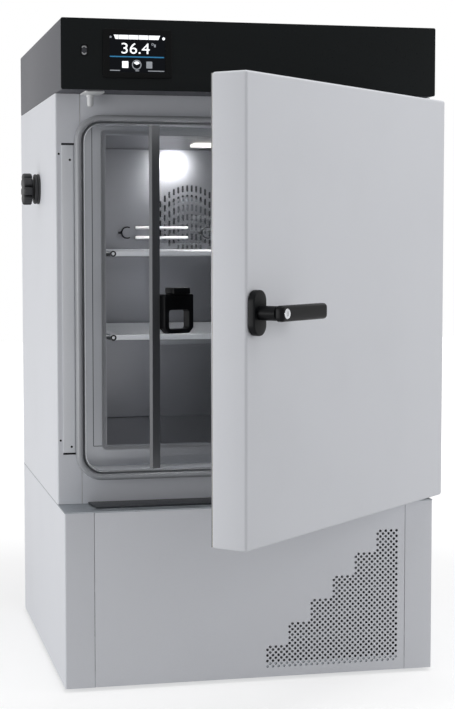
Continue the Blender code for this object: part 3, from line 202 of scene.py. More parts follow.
def makeFinish(name, colour, roughness=0.5, metallic=0.0, grain=700.0, stretch=(1.0, 1.0, 1.0),
               bump=0.15, depth=0.00005, spread=0.06, roughSpread=0.06, cloud=7.0, speck=0.0,
               cross=None, sockets=None):
    # grain: fine noise per metre; cloud: slow change of shade; cross: a second set of brush lines
    material = bpy.data.materials.new(name)
    material.use_nodes = True
    tree = material.node_tree
    shader = tree.nodes["Principled BSDF"]
    for socketName, value in {"Metallic": metallic, **(sockets or {})}.items():
        shader.inputs[socketName].default_value = value
    place = addNode(tree, "ShaderNodeTexCoord").outputs["Object"]
    fine = noise(tree, place, grain, 3.0, 0.55, stretch)
    if cross:
        fine = reckon(tree, "MULTIPLY", fine, noise(tree, place, grain, 3.0, stretch=cross))
    both = reckon(tree, "ADD", noise(tree, place, cloud, 2.0), fine)
    if speck:
        dots = addNode(tree, "ShaderNodeTexVoronoi", {"Vector": place, "Scale": grain * 0.6})
        dark = ranged(tree, dots.outputs["Distance"], 0.0, 0.22, -speck, 0.0)
        both = reckon(tree, "ADD", both, dark)
    shade = addNode(tree, "ShaderNodeValToRGB", {"Fac": both})
    low, high = shade.color_ramp.elements
    low.position, high.position = 0.55, 1.0
    for stop, factor in ((low, 1.0 - spread), (high, 1.0 + spread)):
        stop.color = (*[min(1.0, channel * factor) for channel in colour[:3]], 1.0)
    tree.links.new(shade.outputs["Color"], shader.inputs["Base Color"])
    rough = ranged(tree, fine, 0.25, 0.75, max(0.02, roughness - roughSpread),
                   min(1.0, roughness + roughSpread))
    tree.links.new(rough, shader.inputs["Roughness"])
    relief = addNode(tree, "ShaderNodeBump", {"Height": fine, "Strength": bump, "Distance": depth})
    tree.links.new(relief.outputs["Normal"], shader.inputs["Normal"])
    return material


orangePeel = {"grain": 620.0, "bump": 0.22, "depth": 0.00006, "spread": 0.018, "roughSpread": 0.05,
              "sockets": {"Specular IOR Level": 0.28}}
lightPaint = makeFinish("lightPaint", tone(229, 231, 236), 0.52, **orangePeel)
palePaint = makeFinish("palePaint", tone(231, 233, 237), 0.50, **orangePeel)
graphitePaint = makeFinish("graphitePaint", tone(77, 78, 84), 0.52, speck=0.05, **orangePeel)
brushedSteel = makeFinish("brushedSteel", tone(130, 131, 135), 0.30, 1.0, grain=1.0,
                          stretch=(9.0, 9.0, 1100.0), cross=(9.0, 1100.0, 9.0), bump=0.015,
                          depth=0.00002, spread=0.03, roughSpread=0.02, cloud=5.0)
satin = {"grain": 1.0, "bump": 0.03, "depth": 0.00003, "spread": 0.02, "roughSpread": 0.03}
satinSteel = makeFinish("satinSteel", tone(150, 152, 156), 0.32, 1.0, stretch=(400.0, 4.0, 4.0),
                        **satin)
# paler and less metallic than the lip's steel: painted light for the lit, upward-facing sill
sillSteel = makeFinish("sillSteel", tone(226, 228, 231), 0.36, 0.45, stretch=(4.0, 400.0, 400.0),
                       **satin)
barSteel = makeFinish("barSteel", tone(92, 94, 97), 0.36, 0.35, grain=1.0,
                      stretch=(900.0, 900.0, 9.0), bump=0.08, depth=0.00003, spread=0.05)
# much lighter than the chamber's steel: painted light for the shelves' lit tops
shelfSteel = makeFinish("shelfSteel", tone(222, 224, 227), 0.36, 0.80, grain=1.0,
                        stretch=(9.0, 900.0, 900.0), bump=0.22, depth=0.00004, spread=0.08)
polishedSteel = makeFinish("polishedSteel", tone(198, 200, 203), 0.16, 1.0, grain=500.0, bump=0.05,
                           depth=0.00002, spread=0.03, roughSpread=0.05)
galvanised = makeFinish("galvanised", tone(150, 155, 160), 0.45, 0.9, grain=90.0, bump=0.08,
                        spread=0.14, roughSpread=0.12, cloud=40.0)
# dark steel for real parts, and also the painted shade on the walls inside holes
darkSteel = makeFinish("darkSteel", tone(62, 64, 68), 0.38, 0.8, grain=500.0, bump=0.12, spread=0.08)
blackRubber = makeFinish("blackRubber", tone(34, 35, 37), 0.62, grain=900.0, bump=0.35, spread=0.14,
                         roughSpread=0.10, speck=0.06)
greyRubber = makeFinish("greyRubber", tone(160, 162, 166), 0.36, grain=900.0, bump=0.30, spread=0.10,
                        roughSpread=0.10, speck=0.05)
paleSilicone = makeFinish("paleSilicone", tone(150, 152, 156), 0.34, bump=0.10, spread=0.05)
# black plastic for real parts, and also black plates and rings of painted shade in the keeper's slots and
# behind the fan grille
blackPlastic = makeFinish("blackPlastic", tone(15, 16, 18), 0.34, grain=1100.0, bump=0.22, spread=0.12,
                          roughSpread=0.08, sockets={"Specular IOR Level": 0.09})
# white plastic for real parts, and also the painted highlight on the service socket and the painted
# reflection on the probe rods
whitePlastic = makeFinish("whitePlastic", tone(226, 227, 228), 0.36, grain=900.0, bump=0.10,
                          spread=0.02)
fasciaGloss = makeFinish("fasciaGloss", tone(20, 23, 24), 0.30, grain=420.0, bump=0.05, depth=0.00003,
                         spread=0.06, roughSpread=0.04, sockets={"Specular IOR Level": 0.08})
copperPipe = makeFinish("copperPipe", tone(196, 122, 84), 0.28, 1.0, grain=300.0, bump=0.12,
                        spread=0.16, roughSpread=0.12, cloud=30.0)
rawAluminium = makeFinish("rawAluminium", tone(178, 181, 185), 0.36, 1.0, grain=400.0, bump=0.14,
                          spread=0.08, roughSpread=0.10)
blackEnamel = makeFinish("blackEnamel", tone(24, 25, 27), 0.26, grain=260.0, bump=0.16, depth=0.0001,
                         spread=0.14, roughSpread=0.08)
insulation = makeFinish("insulation", tone(205, 201, 188), 0.85, grain=240.0, bump=0.6, depth=0.0006,
                        spread=0.16, cloud=25.0)
circuitBoard = makeFinish("circuitBoard", tone(24, 84, 58), 0.45, grain=160.0, bump=0.25, spread=0.25,
                          cloud=60.0, speck=0.2)
clearGlass = makeFinish("clearGlass", tone(236, 243, 242), 0.03, grain=3.0, bump=0.01, spread=0.01,
                        roughSpread=0.01, cloud=2.0,
                        sockets={"Transmission Weight": 1.0, "IOR": 1.46, "Alpha": 0.16})
lampGlow = makeFinish("lampGlow", tone(244, 244, 240), 0.4, grain=500.0, bump=0.05, spread=0.02,
                      sockets={"Emission Color": tone(255, 252, 246), "Emission Strength": 1.6})


def dress(material, *nodeNames):
    for nodeName in nodeNames:
        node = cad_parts[nodeName]
        if not node.material_slots:
            node.data.materials.append(material)
        for place in node.material_slots:
            place.material = material


dress(lightPaint, "base_casing", "base_front_panel", "cabinet_casing", "front_frame", "door_skin")
dress(graphitePaint, "control_casing")
dress(palePaint, "rear_motor_cover")
dress(brushedSteel, "chamber_liner", "fan_baffle", "door_inner_panel")
dress(satinSteel, "chamber_lip")
dress(sillSteel, "throat_lining")
dress(shelfSteel, "lower_shelf", "upper_shelf", "shelf_rack_left", "shelf_rack_right", "keeper_strip")
dress(galvanised, "base_deck", "base_tray", "fan_shroud", "power_supply")
dress(darkSteel, "drip_strip")
dress(greyRubber, "door_gasket")
dress(paleSilicone, "glass_seal")
dress(blackRubber, "port_sleeve", "port_plug", "suction_pipe")
dress(blackPlastic, "handle_plate", "door_lever", "power_inlet", "circulation_fan", "condenser_fan",
      "service_socket", "display_bezel", "glass_pull")
dress(polishedSteel, "lock_cylinder", "probe_pair", "glass_edge_strip")
dress(whitePlastic, "door_sensor")
dress(clearGlass, "glass_pane")
dress(fasciaGloss, "control_fascia", "display_screen")
dress(lampGlow, "chamber_lamp")
dress(rawAluminium, "evaporator", "condenser", "circulation_motor", "condenser_fan_motor")
dress(copperPipe, "heater_element")
dress(blackEnamel, "compressor")
dress(circuitBoard, "control_board")
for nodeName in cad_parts:
    if nodeName.startswith("foot"):
        dress(blackRubber, nodeName)
    elif nodeName in ("door_core", "cabinet_insulation"):
        dress(insulation, nodeName)
    elif "bracket" in nodeName or "hinge" in nodeName:
        dress(polishedSteel, nodeName)
print("finishes on the frame's nodes")


# shapes

planeTurns = {      # from a drawing's plane to the one that faces this axis
    "X": Matrix(((0, 0, 1, 0), (1, 0, 0, 0), (0, 1, 0, 0), (0, 0, 0, 1))),
    "Y": Matrix(((1, 0, 0, 0), (0, 0, 1, 0), (0, 1, 0, 0), (0, 0, 0, 1))),
    "Z": Matrix.Identity(4),
}


def linkObject(name, data):
    obj = bpy.data.objects.new(name, data)
    scene.collection.objects.link(obj)
    return obj


def cleaned(obj):
    bm = bmesh.new()
    bm.from_mesh(obj.data)
    bmesh.ops.remove_doubles(bm, verts=bm.verts, dist=1e-6)
    bmesh.ops.recalc_face_normals(bm, faces=bm.faces)
    bm.to_mesh(obj.data)
    bm.free()
    return obj


def fromBmesh(name, bm):
    mesh = bpy.data.meshes.new(name)
    bm.to_mesh(mesh)
    bm.free()
    return cleaned(linkObject(name, mesh))


def baked(obj):
    # the evaluated shape as a plain mesh, in a new object of the same name
    bpy.context.view_layer.update()
    graph = bpy.context.evaluated_depsgraph_get()
    mesh = bpy.data.meshes.new_from_object(obj.evaluated_get(graph), preserve_all_data_layers=True,
                                           depsgraph=graph)
    name = obj.name
    bpy.data.objects.remove(obj)
    return linkObject(name, mesh)


def placed(obj, matrix):
    obj.data.transform(matrix)
    return obj


def block(name, low, high, radius=0.001, steps=3, along=None, edge=0.0006):
    # along: only the edges of that axis take the radius, and the others take the small edge
    low, high = Vector(low), Vector(high)
    bm = bmesh.new()
    bmesh.ops.create_cube(bm, size=1.0)
    for vert in bm.verts:
        vert.co = Vector([(low[i] + high[i]) / 2 + vert.co[i] * (high[i] - low[i]) for i in range(3)])
    if along:
        axis = "XYZ".index(along)
        upright = [e for e in bm.edges if abs((e.verts[0].co - e.verts[1].co)[axis]) > 1e-6]
        bmesh.ops.bevel(bm, geom=upright, offset=radius, segments=steps, profile=0.5, affect="EDGES")
        if edge:
            sharp = [e for e in bm.edges if len(e.link_faces) == 2 and e.calc_face_angle() > 1.0]
            bmesh.ops.bevel(bm, geom=sharp, offset=edge, segments=2, profile=0.5, affect="EDGES")
    elif radius:
        bmesh.ops.bevel(bm, geom=bm.edges[:], offset=radius, segments=steps, profile=0.5, affect="EDGES")
    return fromBmesh(name, bm)


def roundedRect(u0, v0, u1, v1, radius, steps=8):
    loop = []
    for u, v, start in ((u1 - radius, v1 - radius, 0.0), (u0 + radius, v1 - radius, 90.0),
                        (u0 + radius, v0 + radius, 180.0), (u1 - radius, v0 + radius, 270.0)):
        for step in range(steps + 1):
            angle = math.radians(start + 90.0 * step / steps)
            loop.append((u + radius * math.cos(angle), v + radius * math.sin(angle)))
    return loop


def circle(u, v, radius, sides=28):
    return [(u + radius * math.cos(math.tau * i / sides), v + radius * math.sin(math.tau * i / sides))
            for i in range(sides)]


def sector(u, v, inner, outer, start, end, steps=14):
    angles = [math.radians(start + (end - start) * i / steps) for i in range(steps + 1)]
    return ([(u + outer * math.cos(a), v + outer * math.sin(a)) for a in angles]
            + [(u + inner * math.cos(a), v + inner * math.sin(a)) for a in reversed(angles)])


def plate(name, loops, low, high, axis="Y", edge=0.0004, steps=2):
    # a flat outline with holes, its edges rounded
    curve = bpy.data.curves.new(name, "CURVE")
    curve.dimensions = "2D"
    curve.fill_mode = "BOTH"
    curve.extrude = (high - low) / 2.0 - edge
    curve.bevel_depth = edge
    curve.bevel_resolution = steps
    curve.offset = -edge
    for number, loop in enumerate(loops):
        points = loop[::-1] if number else loop
        spline = curve.splines.new("POLY")
        spline.points.add(len(points) - 1)
        for point, (u, v) in zip(spline.points, points):
            point.co = (u, v, 0.0, 1.0)
        spline.use_cyclic_u = True
    flat = baked(linkObject(name, curve))
    placed(flat, planeTurns[axis] @ Matrix.Translation((0.0, 0.0, (low + high) / 2.0)))
    return cleaned(flat)


def filletPath(points, radius, steps=5):
    path = [Vector(points[0])]
    for before, corner, after in zip(points, points[1:], points[2:]):
        corner = Vector(corner)
        back, ahead = (Vector(before) - corner).normalized(), (Vector(after) - corner).normalized()
        half = back.angle(ahead) / 2.0
        centre = corner + (back + ahead).normalized() * radius / math.sin(half)
        reach = radius / math.tan(half)
        start, end = corner + back * reach - centre, corner + ahead * reach - centre
        for step in range(steps + 1):
            path.append(centre + start.lerp(end, step / steps).normalized() * radius)
    return path + [Vector(points[-1])]


def skinned(name, rings, closed=False):
    # faces between rings of points, or a ring and one point, and over both ends unless closed
    bm = bmesh.new()
    rings = [[bm.verts.new(point) for point in ring] for ring in rings]
    for first, last in zip(rings, rings[1:] + (rings[:1] if closed else [])):
        for i in range(max(len(first), len(last))):
            corners = [first[i % len(first)], first[(i + 1) % len(first)],
                       last[(i + 1) % len(last)], last[i % len(last)]]
            unique = list(dict.fromkeys(corners))
            if len(unique) > 2:
                bm.faces.new(unique)
    for ring in () if closed else (rings[0], rings[-1]):
        if len(ring) > 1:
            bm.faces.new(ring)
    return fromBmesh(name, bm)


def foldedSheet(name, points, thickness, low, high, axis="Z", radius=0.003):
    # the outer line runs with the inside of the sheet on its left
    line = filletPath(points, radius)
    rows = []
    for number, point in enumerate(line):
        turns = []
        for first, last in ((number - 1, number), (number, number + 1)):
            if first >= 0 and last < len(line):
                run = (line[last] - line[first]).normalized()
                turns.append(Vector((-run.y, run.x)))
        if len(turns) == 1:
            turns *= 2
        inner = point + (turns[0] + turns[1]) * thickness / (1.0 + turns[0].dot(turns[1]))
        rows.append([planeTurns[axis] @ Vector((p.x, p.y, w))
                     for p, w in ((point, low), (point, high), (inner, high), (inner, low))])
    return skinned(name, rows)


def lathe(name, profile, centre=(0.0, 0.0, 0.0), axis="Y", sides=40, closed=False):
    # profile: radius and distance along the axis; a closed one stays off the axis
    turns = [math.tau * i / sides for i in range(sides)]
    return skinned(name, [[planeTurns[axis] @ Vector((radius * math.cos(turn),
                                                      radius * math.sin(turn), along))
                           + Vector(centre) for turn in (turns if radius > 1e-6 else turns[:1])]
                          for radius, along in profile], closed)


def rod(name, radius, low, high, centre, axis="Y", sides=12):
    return lathe(name, [(0.0, low), (radius, low), (radius, high), (0.0, high)], centre, axis, sides)


def drill(name, radius, low, high, centre=(0.0, 0.0, 0.0), axis="Y", sides=12):
    # a tool that cuts a round hole
    return lathe(name, [(radius, low), (radius, high)], centre, axis, sides)


def slotTool(name, wide, high, radius, steps, reach):
    loop = roundedRect(-wide / 2.0, -high / 2.0, wide / 2.0, high / 2.0, radius, steps)
    return plate(name, [loop], -reach, reach, "Z", 0.0)


def sweptRing(name, u0, v0, u1, v1, radius, profile, axis="Y", steps=8):
    # profile: inset from the outer line and height, swept round a rounded rectangle
    return skinned(name, [[planeTurns[axis] @ Vector((u, v, w))
                           for u, v in roundedRect(u0 + d, v0 + d, u1 - d, v1 - d, radius - d, steps)]
                          for d, w in profile], True)


def cut(obj, *cutters):
    for cutter in cutters:
        change = obj.modifiers.new("cut", "BOOLEAN")
        change.operation, change.solver, change.object = "DIFFERENCE", "EXACT", cutter
    result = baked(obj)
    for cutter in cutters:
        bpy.data.objects.remove(cutter)
    return cleaned(result)


def together(name, *objs):
    bm = bmesh.new()
    for obj in objs:
        bm.from_mesh(obj.data)
        bpy.data.objects.remove(obj)
    mesh = bpy.data.meshes.new(name)
    bm.to_mesh(mesh)
    bm.free()
    return linkObject(name, mesh)


def shadeHoleWalls(obj, axis, material, largest):
    # the small walls inside a sheet's holes get a darker finish: painted shade
    obj.data.materials.append(material)
    for face in obj.data.polygons:
        if abs(face.normal[axis]) < 0.4 and face.area < largest:
            face.material_index = 1


def finishPiece(obj, material, body, slot, *nodes, smooth=38.0):
    mesh = obj.data
    mesh.materials.clear()
    mesh.materials.append(material)
    mesh.polygons.foreach_set("material_index", [0] * len(mesh.polygons))
    mesh.shade_smooth()
    mesh.set_sharp_from_angle(angle=math.radians(smooth))
    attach(obj, body)
    if nodes:
        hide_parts(*nodes)
    return obj


# node trees for what repeats

def makeTree(name, *sockets):
    tree = bpy.data.node_groups.new(name, "GeometryNodeTree")
    tree.interface.new_socket(name="Geometry", in_out="INPUT", socket_type="NodeSocketGeometry")
    for label, kind in sockets + (("Material", "Material"),):
        tree.interface.new_socket(name=label, in_out="INPUT", socket_type="NodeSocket" + kind)
    tree.interface.new_socket(name="Geometry", in_out="OUTPUT", socket_type="NodeSocketGeometry")
    return tree, tree.nodes.new("NodeGroupInput").outputs


def endTree(tree, geometry, material):
    real = addNode(tree, "GeometryNodeRealizeInstances", {0: geometry})
    painted = addNode(tree, "GeometryNodeSetMaterial",
                      {"Geometry": real.outputs[0], "Material": material})
    tree.links.new(painted.outputs[0], tree.nodes.new("NodeGroupOutput").inputs[0])
    return tree


def pieceCopies(tree, points, piece, turn=None):
    shape = addNode(tree, "GeometryNodeObjectInfo", {"Object": piece}).outputs["Geometry"]
    inputs = {"Points": points, "Instance": shape, **({"Rotation": turn} if turn else {})}
    copies = addNode(tree, "GeometryNodeInstanceOnPoints", inputs).outputs[0]
    return addNode(tree, "GeometryNodeRealizeInstances", {0: copies}).outputs[0]


def pointsAt(tree, count, **place):
    spot = addNode(tree, "ShaderNodeCombineXYZ", place).outputs[0]
    return addNode(tree, "GeometryNodePoints", {"Count": count, "Position": spot}).outputs[0]


def shifted(tree, group, geometry):
    return addNode(tree, "GeometryNodeTransform",
                   {"Geometry": geometry, "Translation": group["Start"],
                    "Rotation": group["Turn"]}).outputs[0]


def joined(tree, group, copies):
    both = addNode(tree, "GeometryNodeJoinGeometry", {0: group["Geometry"]})
    tree.links.new(copies, both.inputs[0])
    return endTree(tree, both.outputs[0], group["Material"])


def columnAndRow(tree, rows):
    number = addNode(tree, "GeometryNodeInputIndex").outputs[0]
    column = reckon(tree, "FLOOR", reckon(tree, "DIVIDE", reckon(tree, "ADD", number, 0.5), rows))
    row = reckon(tree, "SUBTRACT", number, reckon(tree, "MULTIPLY", column, rows))
    return column, row


def cutAtPoints(tree, group, across, up, beyond):
    count = reckon(tree, "MULTIPLY", group["Columns"], group["Rows"])
    points = pointsAt(tree, count, X=across, Y=up)
    kept = addNode(tree, "GeometryNodeDeleteGeometry",
                   {"Geometry": points, "Selection": beyond}).outputs[0]
    tools = shifted(tree, group, pieceCopies(tree, kept, group["Cutter"]))
    holes = addNode(tree, "GeometryNodeMeshBoolean", {"Mesh 1": group["Geometry"], "Mesh 2": tools},
                    operation="DIFFERENCE", solver="MANIFOLD")
    return endTree(tree, holes.outputs[0], group["Material"])


def makePerforation():
    # rows of holes, every other one shifted, which may rise in steps
    tree, group = makeTree("perforation", ("Columns", "Int"), ("Rows", "Int"), ("Column Pitch", "Float"),
                           ("Row Pitch", "Float"), ("Stagger", "Float"), ("Step Columns", "Int"),
                           ("Step Rows", "Int"), ("Cutter", "Object"), ("Start", "Vector"),
                           ("Turn", "Vector"))
    column, row = columnAndRow(tree, group["Rows"])
    shift = reckon(tree, "MULTIPLY", reckon(tree, "MODULO", row, 2.0), group["Stagger"])
    across = reckon(tree, "MULTIPLY_ADD", column, group["Column Pitch"], shift)
    up = reckon(tree, "MULTIPLY", row, group["Row Pitch"])
    step = reckon(tree, "FLOOR", reckon(tree, "DIVIDE", reckon(tree, "ADD", column, 0.5),
                                        group["Step Columns"]))
    limit = reckon(tree, "MULTIPLY", reckon(tree, "ADD", step, 1.0), group["Step Rows"])
    beyond = reckon(tree, "GREATER_THAN", reckon(tree, "ADD", row, 0.5), limit)
    return cutAtPoints(tree, group, across, up, beyond)


def makeGrille():
    # upright slots stacked down from the edge of a circle
    tree, group = makeTree("grille", ("Columns", "Int"), ("Rows", "Int"), ("Column Pitch", "Float"),
                           ("Row Pitch", "Float"), ("Radius", "Float"), ("Length", "Float"),
                           ("Cutter", "Object"), ("Start", "Vector"), ("Turn", "Vector"))
    column, row = columnAndRow(tree, group["Rows"])
    middle = reckon(tree, "MULTIPLY", reckon(tree, "SUBTRACT", group["Columns"], 1.0), 0.5)
    across = reckon(tree, "MULTIPLY", reckon(tree, "SUBTRACT", column, middle), group["Column Pitch"])
    square = reckon(tree, "SUBTRACT", reckon(tree, "POWER", group["Radius"], 2.0),
                    reckon(tree, "MULTIPLY", across, across))
    reach = reckon(tree, "SQRT", reckon(tree, "MAXIMUM", square, 0.0))
    half = reckon(tree, "MULTIPLY", group["Length"], 0.5)
    down = reckon(tree, "MULTIPLY_ADD", row, group["Row Pitch"], half)
    up = reckon(tree, "SUBTRACT", reach, down)
    beyond = reckon(tree, "GREATER_THAN", reckon(tree, "ADD", down, half),
                    reckon(tree, "MULTIPLY", reach, 2.0))
    return cutAtPoints(tree, group, across, up, beyond)


def makeRing():
    # copies of a piece round a circle, added to what is there
    tree, group = makeTree("ring", ("Count", "Int"), ("Radius", "Float"), ("Piece", "Object"),
                           ("Start", "Vector"), ("Turn", "Vector"))
    number = addNode(tree, "GeometryNodeInputIndex").outputs[0]
    angle = reckon(tree, "DIVIDE", reckon(tree, "MULTIPLY", number, math.tau), group["Count"])
    points = pointsAt(tree, group["Count"],
                      X=reckon(tree, "MULTIPLY", reckon(tree, "COSINE", angle), group["Radius"]),
                      Y=reckon(tree, "MULTIPLY", reckon(tree, "SINE", angle), group["Radius"]))
    turn = addNode(tree, "ShaderNodeCombineXYZ", {"Z": angle}).outputs[0]
    return joined(tree, group, shifted(tree, group, pieceCopies(tree, points, group["Piece"], turn)))


def makeRow():
    # copies of a piece along a line, added to what is there
    tree, group = makeTree("row", ("Count", "Int"), ("Piece", "Object"), ("Start", "Vector"),
                           ("Step", "Vector"))
    number = addNode(tree, "GeometryNodeInputIndex").outputs[0]
    along = addNode(tree, "ShaderNodeVectorMath", {0: group["Step"], "Scale": number},
                    operation="SCALE").outputs[0]
    place = addNode(tree, "ShaderNodeVectorMath", {0: group["Start"], 1: along}, operation="ADD")
    points = addNode(tree, "GeometryNodePoints", {"Count": group["Count"],
                                                  "Position": place.outputs[0]}).outputs[0]
    return joined(tree, group, pieceCopies(tree, points, group["Piece"]))


def makeScrews():
    # a screw at every point of a mesh
    tree, group = makeTree("screws", ("Piece", "Object"), ("Turn", "Vector"))
    copies = pieceCopies(tree, group["Geometry"], group["Piece"], group["Turn"])
    return endTree(tree, copies, group["Material"])


perforation, grille, ring, row, screws = (makePerforation(), makeGrille(), makeRing(), makeRow(),
                                          makeScrews())


def grown(obj, tree, material, values, *tools):
    modifier = obj.modifiers.new(tree.name, "NODES")
    modifier.node_group = tree
    values = {**values, "Material": material}
    for item in tree.interface.items_tree:
        if item.in_out == "INPUT" and item.name in values:
            modifier[item.identifier] = values[item.name]
    before = len(obj.data.polygons)
    result = baked(obj)
    print("  ", tree.name, result.name, before, "->", len(result.data.polygons), "faces")
    for tool in tools:
        bpy.data.objects.remove(tool)
    return result


def perforated(obj, material, tool, columns, rows, pitches, start, stagger=0.0, steps=(1, 999),
               turn=upright):
    return grown(obj, perforation, material,
                 {"Columns": columns, "Rows": rows, "Column Pitch": pitches[0],
                  "Row Pitch": pitches[1], "Stagger": stagger, "Step Columns": steps[0],
                  "Step Rows": steps[1], "Cutter": tool, "Start": start, "Turn": turn}, tool)


def pointMesh(name, points):
    mesh = bpy.data.meshes.new(name)
    mesh.from_pydata([tuple(point) for point in points], [], [])
    return linkObject(name, mesh)


def panHead(radius=0.0038, height=0.0022):
    # a screw head with a cross in it, its top along +z
    head = lathe("screwHead", [(radius, -0.0006), (radius, height * 0.35), (radius * 0.80, height * 0.80),
                               (radius * 0.45, height), (0.0, height)], axis="Z", sides=14)
    wide, deep = radius * 0.55, height * 0.45
    return cut(head, block("crossA", (-wide, -0.0004, deep), (wide, 0.0004, height * 2), 0.0),
               block("crossB", (-0.0004, -wide, deep), (0.0004, wide, height * 2), 0.0))


def addScrews(name, points, turn, material, body, slot="stainless", radius=0.0038):
    obj = grown(pointMesh(name, points), screws, material,
                {"Piece": panHead(radius), "Turn": [math.radians(a) for a in turn]},
                bpy.data.objects["screwHead"])
    return finishPiece(obj, material, body, slot)


print("shapes and node trees ready")


# cabinet

casing = {"wall": 0.0015, "baseFlange": 0.050, "cabinetFlange": 0.042,
          "base": (0.0061, 0.3042), "cabinet": (0.3063, 1.0087), "ventSlot": (0.160, 0.006, 0.0029),
          "vents": {"columns": 1, "rows": 8, "pitches": (0.1, 0.016), "start": (0.0, backY, 0.126)},
          "inlet": (0.1957, 0.0507, 0.2443, 0.0813)}
keeper = {"left": -0.3147, "right": -0.2940, "low": 0.396, "high": 0.9215,
          "front": -0.2343, "back": -0.2323,
          "slotRight": -0.2925, "slotHigh": 0.0033, "slots": (0.9222, 0.3922),
          "holeX": -0.3190, "holeRadius": 0.0019, "holes": (0.907, 0.417),
          "screwX": -0.3003, "screwRadius": 0.0021, "screws": (0.897, 0.406)}


def wrapLine(front, flange):
    return [(sideX - flange, front), (sideX, front), (sideX, backY), (-sideX, backY), (-sideX, front),
            (-sideX + flange, front)]


def keeperSlots(name, front, back):
    return [block(name, (keeper["left"], front, z),
                  (keeper["slotRight"], back, z + keeper["slotHigh"]), 0.0) for z in keeper["slots"]]


def makeCasings():
    base = foldedSheet("baseCasing", wrapLine(frontY, casing["baseFlange"]), casing["wall"],
                       *casing["base"])
    x0, z0, x1, z1 = casing["inlet"]
    base = cut(base, block("inletHole", (x0, 0.30, z0), (x1, 0.34, z1), 0.0))
    base = perforated(base, lightPaint, slotTool("ventSlot", *casing["ventSlot"], 4, 0.01),
                      **casing["vents"])
    finishPiece(base, lightPaint, "cabinet", "white_paint", "base_casing")
    cabinet = foldedSheet("cabinetCasing", wrapLine(frameY, casing["cabinetFlange"]), casing["wall"],
                          *casing["cabinet"])
    hole = drill("portHole", port["hole"], -0.34, -0.31, (0.0, port["y"], port["z"]), "X", 32)
    holes = [drill("keeperHole", keeper["holeRadius"], -0.24, -0.22, (keeper["holeX"], 0.0, z))
             for z in keeper["holes"]]
    cabinet = cut(cabinet, hole, *keeperSlots("keeperSlot", -0.24, -0.22), *holes)
    finishPiece(cabinet, lightPaint, "cabinet", "white_paint", "cabinet_casing")
    # painted shade: black plates just under the face fill the keeper's slots and holes
    darks = keeperSlots("slotDark", -0.2313, -0.2306)
    darks += [rod("holeDark", keeper["holeRadius"], -0.2313, -0.2306, (keeper["holeX"], 0.0, z))
              for z in keeper["holes"]]
    darks += [rod("holeDark", keeper["screwRadius"], -0.2328, -0.2323, (keeper["screwX"], 0.0, z),
                  sides=14) for z in keeper["screws"]]
    finishPiece(together("keeperDark", *darks), blackPlastic, "cabinet", "black_plastic")


vent = {"hole": 0.00238, "field": {"columns": 24, "rows": 48, "pitches": (0.00992, 0.00487),
                                   "stagger": 0.00496, "steps": (4, 8),
                                   "start": (0.0258, -0.319, 0.0246)}}


def makeFrontPanel():
    panel = plate("frontPanel", [roundedRect(-0.2742, 0.0063, 0.2742, 0.3040, 0.0008, 2)],
                  frontY, -0.3185)
    tool = drill("ventTool", vent["hole"], -0.004, 0.004, axis="Z")
    panel = perforated(panel, lightPaint, tool, **vent["field"])
    finishPiece(panel, lightPaint, "cabinet", "white_paint", "base_front_panel")
    # painted shade on the walls inside the vent holes
    shadeHoleWalls(panel, 1, darkSteel, 3e-6)


def makeGasket():
    profile = [(0.0, -0.2328), (0.0, -0.2448), (0.0010, -0.2492), (0.0034, -0.2518),
               (0.0066, -0.2524), (0.0090, -0.2514), (0.0104, -0.2488), (0.0108, -0.2450),
               (0.0110, -0.2390), (0.0122, -0.2384), (0.0130, -0.2430), (0.0142, -0.2446),
               (0.0150, -0.2432), (0.0150, -0.2328)]
    gasket = sweptRing("doorGasket", -0.293, 0.348, 0.293, 0.973, 0.045, profile, "Y", 12)
    finishPiece(gasket, greyRubber, "cabinet", "dark_rubber", "door_gasket")


def makeKeeper():
    strip = block("keeperStrip", (keeper["left"], keeper["front"], keeper["low"]),
                  (keeper["right"], keeper["back"], keeper["high"]), 0.0006, 2)
    holes = [drill("stripHole", keeper["screwRadius"], -0.24, -0.23, (keeper["screwX"], 0.0, z),
                   sides=14) for z in keeper["screws"]]
    finishPiece(cut(strip, *holes), palePaint, "cabinet", "grey_paint", "keeper_strip")


def makeDripStrip():
    outline = [(-0.272, -0.2323), (-0.2665, -0.2878), (0.2665, -0.2878), (0.272, -0.2323)]
    strip = plate("dripStrip", [outline], 0.3063, 0.3093, "Z", 0.0008)
    finishPiece(strip, darkSteel, "cabinet", "dark_rubber", "drip_strip")


sensor = {"x": -0.266, "halfWide": 0.0165, "front": -0.299, "back": -0.235, "top": 1.0087,
          "flange": 0.003, "pin": 0.0055, "pinFoot": 0.9857, "pinY": -0.2425}


def makeSensor():
    x, half, top, pin, foot = (sensor[k] for k in ("x", "halfWide", "top", "pin", "pinFoot"))
    flange = block("sensorFlange", (x - half, sensor["front"], top - sensor["flange"]),
                   (x + half, sensor["back"], top), 0.004, 3, "Z", 0.0007)
    collar = pin + 0.0016
    peg = lathe("sensorPeg", [(collar, top - 0.002), (collar, top - 0.0058), (pin, top - 0.0064),
                              (pin, foot + 0.005), (pin * 0.82, foot + 0.0018),
                              (pin * 0.45, foot + 0.0004), (0.0, foot)],
                (x, sensor["pinY"], 0.0), "Z", 28)
    finishPiece(together("doorSensor", flange, peg), whitePlastic, "cabinet", "white_plastic",
                "door_sensor")


port = {"y": 0.009, "z": 0.854, "hole": 0.0163, "flange": 0.0275, "bore": 0.0125, "tube": 0.016,
        "ribs": 9, "ribRadius": 0.0183, "ribX": -0.3475}


